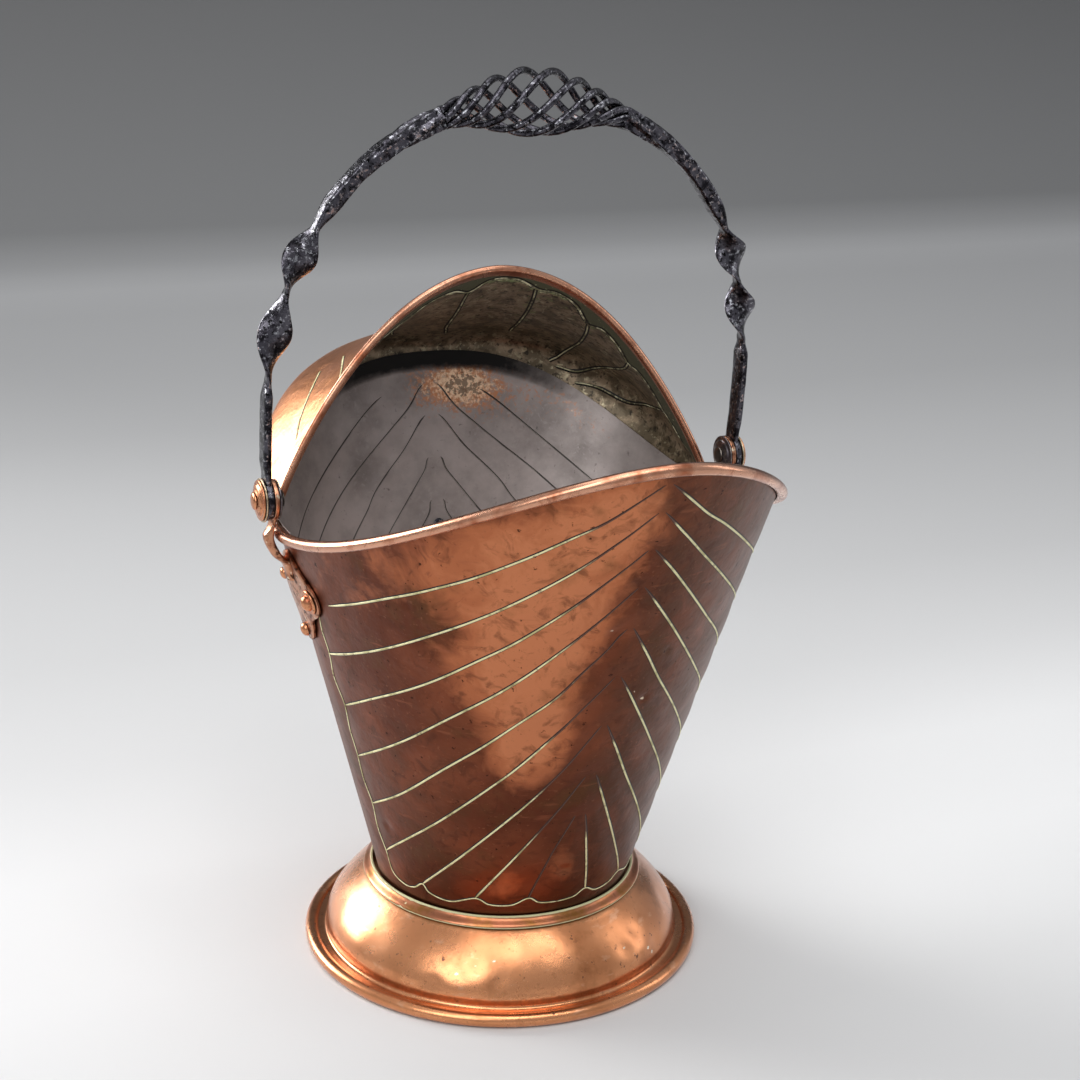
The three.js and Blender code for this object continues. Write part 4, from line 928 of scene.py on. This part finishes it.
hinge = {"pivotY": -2.0, "pivotHeight": 258.5, "pin": 3.0, "head": 4.4, "headHeight": 1.3,
         "bracketInside": 124.8, "bracketGauge": 2.2, "eye": 10.0, "bailEyeGauge": 3.3, "washer": 10.8,
         "washerGauge": 0.8, "boss": 10.0, "bossHeight": 2.8, "hole": 0.35}
bore = hinge["pin"] + hinge["hole"]
bailInside = hinge["bracketInside"] + hinge["bracketGauge"] + fit


def aimed(shell, place, axis):
    # A shell turned so that its own Z points along the axis, then moved to the place.
    points, faces = shell
    axis = np.asarray(axis, float) / np.linalg.norm(axis)
    helper = np.array([0, 0, 1.0]) if abs(axis[2]) < 0.9 else np.array([0, 1.0, 0])
    side = unit(np.cross(helper, axis))
    other = np.cross(axis, side)
    return points @ np.stack([side, other, axis]) + place, faces


def roundedOutline(corners, radius, count=5):
    # A closed outline with each corner replaced by a quadratic curve that starts and ends a radius
    # from it.
    corners = np.asarray(corners, float)
    rows = []
    for i, corner in enumerate(corners):
        before, after = corners[i - 1] - corner, corners[(i + 1) % len(corners)] - corner
        reach = min(radius, np.linalg.norm(before) * 0.45, np.linalg.norm(after) * 0.45)
        if corner[0] < 0.05:
            rows.append(corner[None])
            continue
        start, end = (corner + arm / np.linalg.norm(arm) * reach for arm in (before, after))
        t = np.linspace(0, 1, count)[:, None]
        rows.append((1 - t) ** 2 * start + 2 * t * (1 - t) * corner + t**2 * end)
    return np.concatenate(rows)


def onPivot(side, outline, segments=64):
    shell = turned(outline, segments)
    return aimed(shell, np.array([0, hinge["pivotY"], hinge["pivotHeight"]]), (side, 0, 0))


def bossOutline(seat, outwards):
    boss, high = hinge["boss"], hinge["bossHeight"]
    steps = [(bore, 0), (boss, 0), (boss, .25), (boss * .9, .34), (boss * .82, .34), (boss * .74, .62),
             (boss * .56, .8), (hinge["head"] * .9, 1), (bore, 1)]
    return roundedOutline([(r, seat + outwards * high * share) for r, share in steps], 0.45)


def discOutline(inner, outer, low, high, radius=0.4):
    return roundedOutline([(inner, low), (outer, low), (outer, high), (inner, high)], radius)


def makeHinge(side, label):
    inside = hinge["bracketInside"]
    washerInside = bailInside + hinge["bailEyeGauge"] + fit
    bossInside = washerInside + hinge["washerGauge"] + fit
    pinFrom, pinTo = inside - fit - hinge["bossHeight"] - fit, bossInside + hinge["bossHeight"] + fit
    dome = np.radians(np.linspace(0, 90, 9))
    capLow = [(hinge["head"] * math.cos(t), pinFrom - hinge["headHeight"] * math.sin(t))
              for t in dome[::-1]]
    capHigh = [(hinge["head"] * math.cos(t), pinTo + hinge["headHeight"] * math.sin(t)) for t in dome]
    outline = [*capLow, (hinge["pin"], pinFrom), (hinge["pin"], pinTo), *capHigh]
    pin = onPivot(side, outline, 48)
    blacked = np.abs(np.asarray(pin[0]).reshape(-1, 3)[:, 0]) < inside
    addPiece(f"{label}_peened_pin", [pin], turnedCopper, "scuttle", [f"{label}_pivot_pin"],
             {"blacked": blacked})
    addPiece(f"{label}_inner_cap", [onPivot(side, bossOutline(inside - fit, -1))], cappedIron, "scuttle",
             [f"{label}_inner_boss"])
    addPiece(f"{label}_outer_cap", [onPivot(side, bossOutline(bossInside, 1))], turnedCopper, "scuttle",
             [f"{label}_outer_boss"])
    washer = discOutline(bore, hinge["washer"], washerInside, washerInside + hinge["washerGauge"], 0.3)
    addPiece(f"{label}_brass_washer", [onPivot(side, washer)], tarnishedBrass, "scuttle",
             [f"{label}_pivot_washer"])


# Blacked iron with concentric tool rings rubbed bright.
cappedIron = makeFinish("turned_iron_caps_blacked", "#6d666a", 0.28, [
    film(3, 0.5, 0.62, "#a89c90", 0.3),
    film(6, 0.55, 0.68, "#2a262b", 0.35),
], bumps=[(3, 0.06)], metallic=0.95)
for side, label in sides:
    makeHinge(side, label)

rivets = {"leafDrop": 30.0, "leafGauge": 1.9, "sideOffset": 19.0, "lowerDrop": 21.0, "shank": 1.7, "tail": 3.0,
          # each head's radius and height, and the radius of the ring under it or 0
          "heads": {"front": (4.2, 3.2, 6.4), "rear": (3.2, 2.2, 0), "lower": (3.6, 2.8, 0)}}


def findOnWall(side, y, z):
    # Newton's method on angle and rise until the wall's Y and Z are the ones asked for.
    y, z = np.broadcast_arrays(np.asarray(y, float), np.asarray(z, float))
    angle = np.full(y.shape, side * math.pi / 2)
    rise = (z - foot["height"]) / (bucket["sideHeight"] - foot["height"])
    small = 1e-3
    for _ in range(12):
        here = wall(angle, rise)
        swung = (wall(angle + small, rise) - here) / small
        raised = (wall(angle, rise + small) - here) / small
        missY, missZ = y - here[..., 1], z - here[..., 2]
        determinant = swung[..., 1] * raised[..., 2] - raised[..., 1] * swung[..., 2]
        angle = angle + np.clip((missY * raised[..., 2] - missZ * raised[..., 1]) / determinant, -0.2, 0.2)
        rise = rise + (swung[..., 1] * missZ - swung[..., 2] * missY) / determinant
    return angle, rise


def rivetOutline(head, high, ring, seat, tail):
    dome = np.radians(np.linspace(0, 90, 12))
    lift = seat + (1 if ring else 0)
    washer = ([(ring, seat), (ring, seat + .45), (ring - .25, seat + .75), (ring - .7, seat + 1)]
              if ring else [])
    return [(0, tail - 1.1), (rivets["tail"] * .6, tail - 1.0), (rivets["tail"], tail - .3),
            (rivets["tail"], tail), (rivets["shank"], tail), (rivets["shank"], seat),
            *washer, *[(head * math.cos(t), lift + high * math.sin(t)) for t in dome]]


def makeRivets(side, label):
    leafHeight = bucket["sideHeight"] - rivets["leafDrop"]
    spots = {"front": (hinge["pivotY"] - rivets["sideOffset"], leafHeight),
             "rear": (hinge["pivotY"] + rivets["sideOffset"], leafHeight + 3),
             "lower": (hinge["pivotY"], leafHeight - rivets["lowerDrop"])}
    for name, (y, z) in spots.items():
        angle, rise = findOnWall(side, y, z)
        axis = wallNormal(angle, rise)
        seat = fit + 1.5 * fit + rivets["leafGauge"]
        tail = (-wallGauge if name == "front" else -2 * wallGauge - fit) - 1.5 * fit
        shell = aimed(turned(rivetOutline(*rivets["heads"][name], seat, tail), 40), wall(angle, rise), axis)
        addPiece(f"{label}_{name}_rivet_head", [shell], turnedCopper, "scuttle",
                 [f"{label}_{name}_rivet"])


for side, label in sides:
    makeRivets(side, label)

bracketLeaf = {"core": 14.0, "sideLobe": 12.0, "lowerLobe": 13.0, "neckLobe": 7.0, "gauge": 1.9,
               "rib": 1.5, "neckWidth": 9.5, "ridge": 2.6}


def leafRadius(turn):  # three lobes: powers of the cosine and sine
    spec, up = bracketLeaf, np.sin(turn)
    return (spec["core"] + spec["sideLobe"] * np.abs(np.cos(turn)) ** 5
            + spec["lowerLobe"] * np.maximum(-up, 0) ** 5 + spec["neckLobe"] * np.maximum(up, 0) ** 3)


def makeBracket(side, label):
    # The pad is a polar grid laid on the wall, its face domed with a rolled edge; the neck is a
    # loft past the lip; the eye is a turned ring.
    leafHeight = bucket["sideHeight"] - rivets["leafDrop"]
    turns = np.linspace(0, 2 * np.pi, 96, endpoint=False)

    def ring(share, offset):
        reach = share * leafRadius(turns)
        angle, rise = findOnWall(side, hinge["pivotY"] + reach * np.cos(turns),
                                 leafHeight + reach * np.sin(turns))
        return wall(angle, rise) + wallNormal(angle, rise) * np.asarray(offset, float)[..., None]

    gauge, rib = bracketLeaf["gauge"], bracketLeaf["rib"]
    rings = [ring(share, fit) for share in (0.1, 0.5, 0.96)]
    rings += [ring(1.0, fit + 0.35), ring(1.0, fit + gauge * 0.7), ring(0.97, fit + gauge * 0.97),
              ring(0.9, fit + gauge + rib * 0.02)]
    veining = 0.28 * np.cos(turns * 9) ** 2
    rings += [ring(share, fit + gauge + rib * (1 - share) ** 2 - veining * share * (1 - share) * 2)
              for share in (0.8, 0.66, 0.5, 0.34, 0.2, 0.1)]
    pad = np.array(rings)
    eyeMiddle = hinge["bracketInside"] + hinge["bracketGauge"] / 2
    half = hinge["bracketGauge"] / 2
    pastBead = bucket["halfWidth"] + 2 * bucket["lipBead"] - wallGauge + fit + half
    lipHeight = bucket["sideHeight"]

    def onSheet(z):
        angle, rise = findOnWall(side, hinge["pivotY"], z)
        return abs((wall(angle, rise) + wallNormal(angle, rise) * fit * 1.5)[..., 0]) + half

    width = bracketLeaf["neckWidth"]
    pivotHeight, eyeRadius = hinge["pivotHeight"], hinge["eye"]
    # the neck's middle line from the eye down to the leaf: distance from the middle plane, height, width
    stops = [(eyeMiddle, pivotHeight - eyeRadius * .6, width),
             (eyeMiddle, pivotHeight - eyeRadius, width * .9),
             (pastBead, lipHeight + 3, width * .85), (pastBead, lipHeight - 3, width * .85),
             ((pastBead + onSheet(lipHeight - 11)) / 2, lipHeight - 11, width),
             (onSheet(leafHeight + 14), leafHeight + 14, width * 1.2),
             (onSheet(leafHeight + 6), leafHeight + 6, width)]
    rows, around = 44, 24
    stations = splineThrough([[float(v) for v in s] for s in stops], rows)
    turn = np.linspace(0, 2 * np.pi, around, endpoint=False)
    belowEye = smoothStep(pivotHeight - stations[:, 1] - 13, 0, 5)[:, None]
    ridge = bracketLeaf["ridge"] * belowEye * np.maximum(np.cos(turn), 0)[None] ** 1.5
    x = stations[:, :1] + half * signedPower(np.cos(turn), 0.7)[None] + ridge
    y = hinge["pivotY"] + stations[:, 2:] / 2 * signedPower(np.sin(turn), 0.7)[None]
    neck = np.stack([side * x, y, np.broadcast_to(stations[:, 1:2], x.shape)], -1)
    inside = hinge["bracketInside"]
    eye = onPivot(side, discOutline(bore, hinge["eye"], inside, inside + hinge["bracketGauge"], 0.5))
    shells = [(pad, loftFaces(len(rings), len(turns))), (neck, loftFaces(rows, around)), eye]
    addPiece(f"{label}_bracket_leaf", shells, bracketCopper, "scuttle",
             [f"{label}_bracket"])


for side, label in sides:
    makeBracket(side, label)
print("hinges, rivets and brackets made")

bail = {"legStraight": 37.0, "archHeight": 152.5, "roundness": 2.22, "lean": 5.2, "legWidth": 10.6,
        "legThickness": 4.3, "waistWidth": 7.0, "lobeWidth": 16.8, "lobeThickness": 3.3, "archWidth": 9.8,
        "archThickness": 7.8, "twists": {"left": (60, 101, 133), "right": (64, 95, 124)},
        "eyeRadius": 10.2, "stations": 300, "around": 28}
basket = {"rods": 6, "rodRadius": 1.85, "endRadius": 1.75, "radius": 14.85, "neck": 4.2,
          "halfLength": 47.0, "shift": 1.5, "turns": 1.35, "bunching": 0.35, "stations": 170,
          "around": 14}
archHalfSpan = bailInside + bail["legThickness"] / 2


def intoPlace(points):
    # Bail shapes stand on the hinge line's middle: leaned about X, then lifted to the hinge.
    lean = math.radians(bail["lean"])
    y = points[..., 1] * math.cos(lean) - points[..., 2] * math.sin(lean)
    z = points[..., 1] * math.sin(lean) + points[..., 2] * math.cos(lean)
    return np.stack([points[..., 0], y + hinge["pivotY"], z + hinge["pivotHeight"]], -1)


def archPoint(turn):  # half a superellipse over the legs
    power = 2 / bail["roundness"]
    return vectors(archHalfSpan * signedPower(np.cos(turn), power), 0,
                   bail["legStraight"] + bail["archHeight"] * np.abs(np.sin(turn)) ** power)


def archTurnAt(x):
    share = np.asarray(x, float) / archHalfSpan
    return np.arccos(np.clip(signedPower(share, bail["roundness"] / 2), -1, 1))


def makeArm(side, label):
    # A ribbon carried up the leg and round the arch. It turns half a turn to its waist and a whole
    # one to its end, and swells into a leaf-shaped lobe in each half turn.
    first, waist, last = bail["twists"][label]
    basketEnd = archTurnAt(basket["halfLength"] + side * basket["shift"] + fit)
    leg = np.linspace(bail["eyeRadius"] * 0.6, bail["legStraight"], 50)[:-1]
    share = np.linspace(0, 1, bail["stations"])
    turn = basketEnd * (0.3 * share + 0.7 * share**1.15)
    arch = archPoint(turn)
    path = np.concatenate([vectors(archHalfSpan, 0, leg), arch])
    reach = np.concatenate([np.zeros(len(leg)), turn / basketEnd])
    tangent = unit(np.gradient(path, axis=0))
    height = path[:, 2]
    half = np.where(height < waist, (height - first) / (waist - first) / 2, 0.5 + (height - waist)
                    / (last - waist) / 2)
    turnShare = np.clip(half, 0, 1)
    lobe = np.abs(np.sin(2 * np.pi * turnShare)) ** 0.8
    twisting = smoothStep(height - first + 8, 0, 8) * smoothStep(last + 12 - height, 0, 14)
    nearEye = smoothStep(height - bail["eyeRadius"] - 2, 0, 8)
    nearBasket = smoothStep(reach, 0.7, 1.0)
    weld = 2 * (basket["neck"] + basket["endRadius"])
    plainWidth = np.where(turnShare < 0.5, bail["legWidth"], bail["archWidth"])
    legThick = hinge["bailEyeGauge"] + (bail["legThickness"] - hinge["bailEyeGauge"]) * nearEye
    plainThick = np.where(turnShare < 0.5, legThick, bail["archThickness"])
    width = (plainWidth + (bail["waistWidth"] + (bail["lobeWidth"] - bail["waistWidth"]) * lobe
                           - plainWidth) * twisting)
    width = width + (weld - width) * nearBasket
    thick = plainThick + (bail["lobeThickness"] - plainThick) * twisting
    thick = thick + (weld - thick) * nearBasket
    twist = 2 * np.pi * turnShare
    square = (4 - 2 * nearBasket) * (1 - 0.45 * twisting)
    square = np.maximum(square, 2)
    outward = np.stack([tangent[:, 2], 0 * twist, -tangent[:, 0]], -1)
    across = vectors(0, np.cos(twist), 0) + outward * (side * np.sin(twist))[:, None]
    through = np.cross(tangent, across)
    inset = np.where(height < bail["legStraight"], (thick - bail["legThickness"]) / 2, 0)
    angle = np.linspace(0, 2 * np.pi, bail["around"], endpoint=False)
    c = signedPower(np.cos(angle)[None], 2 / square[:, None])
    s = signedPower(np.sin(angle)[None], 2 / square[:, None])
    ring = ((path + outward * inset[:, None])[:, None]
            + across[:, None] * (c * width[:, None] / 2)[..., None]
            + through[:, None] * (s * thick[:, None] / 2)[..., None])
    hammer = 0.16 * ripple(ring, 9, 30) * smoothStep(height, 12, 20)[:, None]
    ring = ring + unit(ring - path[:, None]) * (np.minimum(hammer, 0.06) - 0.06)[..., None]
    strand = (smoothStep(reach, 0.62, 0.9)[:, None] * 0.13
              * (np.cos(6 * (angle[None] - 5.5 * reach[:, None])) - 1))
    ring = path[:, None] + (ring - path[:, None]) * (1 + strand)[..., None]
    ring = ring * [side, 1, 1]
    edge = np.abs(c) ** 4 * 0.62 + 0.08
    eye = turned(discOutline(bore, bail["eyeRadius"], bailInside, bailInside + hinge["bailEyeGauge"], 0.8),
                 64)
    eye = aimed(eye, np.zeros(3), (side, 0, 0))
    marks = {"edge": np.concatenate([edge.ravel(), np.full(eye[0].reshape(-1, 3).shape[0], 0.5)])}
    shells = [(intoPlace(ring), loftFaces(len(path), bail["around"])), (intoPlace(eye[0]), eye[1])]
    addPiece(f"bail_{label}_ribbon", shells, forgedIron, "bail", [f"bail_{label}_arm"], marks)


def makeRod(number):
    # A helix round the arch's line: its radius swells with a power of the sine and its turning
    # gathers towards the ends.
    def place(u):
        x = basket["shift"] + basket["halfLength"] * (2 * u - 1)
        centre = vectors(x, 0, archPoint(archTurnAt(x))[..., 2])
        nextHeight, lastHeight = (archPoint(archTurnAt(x + step))[..., 2] for step in (0.5, -0.5))
        tangent = unit(vectors(1.0, 0, nextHeight - lastHeight))
        up = np.stack([-tangent[..., 2], 0 * x, tangent[..., 0]], -1)
        gathered = basket["bunching"] * np.sin(2 * np.pi * u) / (2 * np.pi)
        turn = 2 * np.pi * (number / basket["rods"] + basket["turns"] * (u + gathered))
        radius = basket["neck"] + (basket["radius"] - basket["neck"]) * np.abs(np.sin(np.pi * u)) ** 1.6
        radial = vectors(0, -np.cos(turn), 0) + up * np.sin(turn)[..., None]
        return centre + radial * radius[..., None], radial, tangent
    u = np.linspace(0, 1, basket["stations"])
    middle, radial, arch = place(u)
    ahead, behind = place(np.minimum(u + 1e-3, 1))[0], place(np.maximum(u - 1e-3, 0))[0]
    facing = unit(ahead - behind)
    nearEnd = (1 - smoothStep(np.minimum(u, 1 - u), 0, 0.02))[:, None]
    facing = unit(facing * (1 - nearEnd) + arch * nearEnd)
    across = unit(radial - facing * np.sum(radial * facing, -1, keepdims=True))
    other = np.cross(facing, across)
    radius = (basket["endRadius"] + (basket["rodRadius"] - basket["endRadius"])
              * np.abs(np.sin(np.pi * u)) ** 0.5)
    angle = np.linspace(0, 2 * np.pi, basket["around"], endpoint=False)
    circle = across[:, None] * np.cos(angle)[None, :, None] + other[:, None] * np.sin(angle)[None, :, None]
    ring = middle[:, None] + radius[:, None, None] * circle
    # browner towards the basket's middle
    edge = np.broadcast_to(0.75 * np.maximum(-np.cos(angle), 0)[None], ring.shape[:2])
    addPiece(f"basket_twist_rod_{number + 1}", [(intoPlace(ring), loftFaces(len(u), len(angle)))],
             forgedIron, "bail",
             [f"basket_rod_{number + 1}"], {"edge": edge})


for side, label in sides:
    makeArm(side, label)
for number in range(basket["rods"]):
    makeRod(number)
print("bail made")

handle = {"height": 152.0, "standoff": 33.95, "span": 42.0, "padLength": 16.0, "thickness": 7.5,
          "padGauge": 2.6, "padWidth": 13.0, "rivetOffset": 52.0}


def makeRearHandle():
    # A forged loop: a curve through seven upper and seven lower places on the back wall's line,
    # flat at its pads and round at its grip.
    backTop, backFoot = mouthEdge(np.array(math.pi)), bucketFoot(np.array(math.pi))
    backLine = unit(backTop - backFoot)
    backOut = np.array([0, backLine[2], -backLine[1]])
    rise = (handle["height"] - foot["height"]) / (backTop[2] - foot["height"])
    middle = wall(np.array(math.pi), np.array(rise)) + backOut * (-wallGauge - fit)
    padOut, span, stand = fit + handle["padGauge"] / 2, handle["span"], handle["standoff"]
    # half of the loop's middle line: mm along the wall's line, mm out from it
    upper = [(span + handle["padLength"], padOut), (span + handle["padLength"] / 2, padOut),
             (span + 2, padOut + .6), (span - 3, stand * .35),
             (span * .78, stand * .78), (span * .4, stand * .97)]
    knots = upper + [(0, stand)] + [(-along, out) for along, out in upper[::-1]]
    knots = [middle + backLine * along + backOut * out for along, out in knots]
    dense = splineThrough(knots, 900)
    length = np.concatenate([[0], np.cumsum(np.linalg.norm(np.diff(dense, axis=0), axis=1))])
    stations, around = 140, 28
    t = np.linspace(0, 1, stations)
    point = np.stack([np.interp(t * length[-1], length, dense[:, i]) for i in range(3)], -1)
    tangent = unit(np.gradient(point, axis=0))
    outward = unit(np.cross(np.array([1.0, 0, 0]), tangent))
    pad = smoothStep(1 - (np.minimum(t, 1 - t) - 0.1) / 0.1, 0, 1)
    width = (handle["thickness"] + (handle["padWidth"] - handle["thickness"]) * pad) / 2
    depth = (handle["thickness"] + (handle["padGauge"] - handle["thickness"]) * pad) / 2
    square = 2 / (2 + 3 * pad)
    angle = np.linspace(0, 2 * np.pi, around, endpoint=False)
    c = signedPower(np.cos(angle)[None], square[:, None]) * width[:, None]
    s = signedPower(np.sin(angle)[None], square[:, None]) * depth[:, None]
    ring = point[:, None] + np.array([1.0, 0, 0]) * c[..., None] + outward[:, None] * s[..., None]
    fromEnd = np.minimum(np.arange(stations), np.arange(stations)[::-1])
    ends = vectors(np.minimum(1, 0.55 + fromEnd / 6), 1, 1)  # the pads' ends are narrowed
    ring = point[:, None] + (ring - point[:, None]) * ends[:, None]
    addPiece("rear_handle_loop", [(ring, loftFaces(stations, around))], forgedIron, "scuttle",
             ["rear_handle"], {"edge": np.full(ring.shape[:2], 0.45)})
    for name, end in (("top", 1), ("bottom", -1)):
        seat, tail = 2 * fit + handle["padGauge"], -wallGauge - 1.5 * fit
        shell = aimed(turned(rivetOutline(3.4, 2.4, 0, seat, tail), 40), middle + backLine * end
                      * handle["rivetOffset"], backOut)
        addPiece(f"rear_handle_{name}_rivet_head", [shell], forgedIron, "scuttle",
                 [f"rear_handle_{name}_rivet"], {"edge": np.full(shell[0].reshape(-1, 3).shape[0], 0.4)})


makeRearHandle()
print("rear handle made")

# Drawn wire inside the rolled edges, grey with brown rust specks.
wireIron = makeFinish("drawn_wire_iron_bare", "#77726d", 0.42, [
    film(3, 0.5, 0.62, "#5a3f30", 0.6, metallic=0.5),
], bumps=[(2, 0.04)])
for name, material in (("lip_wire", wireIron), ("hood_rim_wire", wireIron), ("foot_rim_wire", wireIron),
                       ("floor_plate", coaledCopper)):
    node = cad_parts[name]
    node.data.materials.clear()
    node.data.materials.append(material)

stage = {  # stops: metres back from the object plus metres up, and the colour there: the paper's pale grey with light and shade painted in, darkest high on the wall
         "stops": [(-0.4, "#c6c6c6"), (-0.1, "#cccccc"), (0.03, "#dadada"), (0.165, "#dcdcdc"),
                   (0.31, "#d0d0d0"), (0.5, "#c8c8c8"), (0.9, "#c6c6c6"),
                   (1.14, "#c2c2c2"), (1.58, "#c7c7c7"), (1.78, "#cacaca"), (1.97, "#d3d3d3"),
                   (2.09, "#cdcdcd"), (2.26, "#bbbbbb"), (2.42, "#a0a0a0"), (3.6, "#7c7c7c")],
         "halfWidth": 7.0, "front": -3.5, "back": 2.2, "sweepRadius": 0.9, "wallHeight": 3.2}


def makeStage():
    # A sheet of paper: flat floor, a quarter circle, then an upright wall.
    turn = np.linspace(0, np.pi / 2, 24)
    y = np.concatenate([[stage["front"]], stage["back"] + stage["sweepRadius"] * np.sin(turn),
                        [stage["back"] + stage["sweepRadius"]]])
    z = np.concatenate([[0], stage["sweepRadius"] * (1 - np.cos(turn)), [stage["wallHeight"]]])
    x = np.array([-stage["halfWidth"], stage["halfWidth"]])
    points = np.stack([np.tile(x, len(y)), np.repeat(y, 2), np.repeat(z, 2) - 0.0003], -1)
    mesh = bpy.data.meshes.new("paper_sweep")
    mesh.from_pydata(points.tolist(), [], gridFaces(len(y), 2, False).tolist())
    mesh.shade_smooth()
    material = bpy.data.materials.new("paper_with_painted_falloff")
    material.use_nodes = True
    tree = material.node_tree
    shader = tree.nodes["Principled BSDF"]
    place = addNode(tree, "ShaderNodeTexCoord").outputs["Object"]
    apart = addNode(tree, "ShaderNodeSeparateXYZ", {0: place})
    depth = addNode(tree, "ShaderNodeMath", {0: apart.outputs["Y"], 1: apart.outputs["Z"]}, operation="ADD")
    low, high = stage["stops"][0][0], stage["stops"][-1][0]
    share = addNode(tree, "ShaderNodeMapRange", {
        "Value": depth.outputs[0], "From Min": low, "From Max": high})
    # the ramp paints light and shade onto the paper: its fall-off, darkest high on the wall
    ramp = addNode(tree, "ShaderNodeValToRGB", {0: share.outputs[0]})
    for i, (far, code) in enumerate(stage["stops"]):
        stop = ramp.color_ramp.elements[i] if i < 2 else ramp.color_ramp.elements.new(1.0)
        stop.position, stop.color = (far - low) / (high - low), colourOf(code)
    tree.links.new(ramp.outputs[0], shader.inputs["Base Color"])
    shader.inputs["Roughness"].default_value = 0.9
    shader.inputs["Specular IOR Level"].default_value = 0.1
    mesh.materials.append(material)
    sweep = bpy.data.objects.new("paper_sweep", mesh)
    bpy.context.scene.collection.objects.link(sweep)


def addLamp(name, place, target, size, power, spread):
    light = bpy.data.lights.new(name, "AREA")
    light.shape = "RECTANGLE"
    light.size, light.size_y = size
    light.energy = power
    light.spread = math.radians(spread)
    lamp = bpy.data.objects.new(name, light)
    bpy.context.scene.collection.objects.link(lamp)
    away = unit(np.array(place, float) - np.array(target, float))
    side = unit(np.cross([0, 0, 1.0], away)) if abs(away[2]) < 0.99 else np.array([1.0, 0, 0])
    up = np.cross(away, side)
    lamp.matrix_world = Matrix([[side[i], up[i], away[i], place[i]] for i in range(3)] + [[0, 0, 0, 1]])


makeStage()
lamps = [  # name, place and target in metres, size, watts, spread in degrees
    ("left_softbox", (-1.5, -1.2, 1.45), (0, 0, 0.2), (1.3, 1.1), 15, 180),
    ("front_softbox_1", (-0.72, -0.7, 1.9), (0, 0, 0.15), (0.36, 1.1), 5, 180),
    ("front_softbox_2", (-0.2, -0.9, 1.9), (0, 0, 0.15), (0.44, 1.1), 6.5, 180),
    ("front_softbox_3", (0.36, -0.9, 1.9), (0, 0, 0.15), (0.36, 1.1), 5, 180),
    ("top_softbox", (0.1, 0.3, 2.3), (0, 0, 0.2), (1.7, 1.3), 13, 180),
    ("back_left_softbox", (-1.25, 1.5, 0.85), (0, 0, 0.3), (1.2, 1.2), 6, 50),
    ("right_strip", (1.9, -0.5, 0.9), (0, 0, 0.25), (0.4, 1.4), 4, 180),
]
for lamp in lamps:
    addLamp(*lamp)
world = bpy.data.worlds.new("studio")
bpy.context.scene.world = world
world.use_nodes = True
sky = world.node_tree.nodes["Background"].inputs
sky["Color"].default_value = colourOf("#d8dade")
sky["Strength"].default_value = 0.64

camera = {"place": (-0.37799, -0.83940, 0.52699), "heading": 24.60, "pitch": -17.80, "roll": 1.4075,
          "lens": 63.83}


def makeCamera():
    heading, pitch, roll = (math.radians(camera[k]) for k in ("heading", "pitch", "roll"))
    forward = np.array([math.sin(heading) * math.cos(pitch), math.cos(heading) * math.cos(pitch),
                        math.sin(pitch)])
    right = np.array([math.cos(heading), -math.sin(heading), 0])
    up = np.cross(right, forward)
    rolledRight = right * math.cos(roll) + up * math.sin(roll)
    rolledUp = -right * math.sin(roll) + up * math.cos(roll)
    data = bpy.data.cameras.new("photo_camera")
    data.lens, data.sensor_width, data.sensor_fit = camera["lens"], 36.0, "HORIZONTAL"
    data.clip_start, data.clip_end = 0.02, 30
    eye = bpy.data.objects.new("photo_camera", data)
    bpy.context.scene.collection.objects.link(eye)
    eye.matrix_world = Matrix([[rolledRight[i], rolledUp[i], -forward[i], camera["place"][i]]
                               for i in range(3)] + [[0, 0, 0, 1]])
    bpy.context.scene.camera = eye


makeCamera()
bpy.context.scene.view_settings.view_transform = "Standard"


print("stage, lamps and camera set")
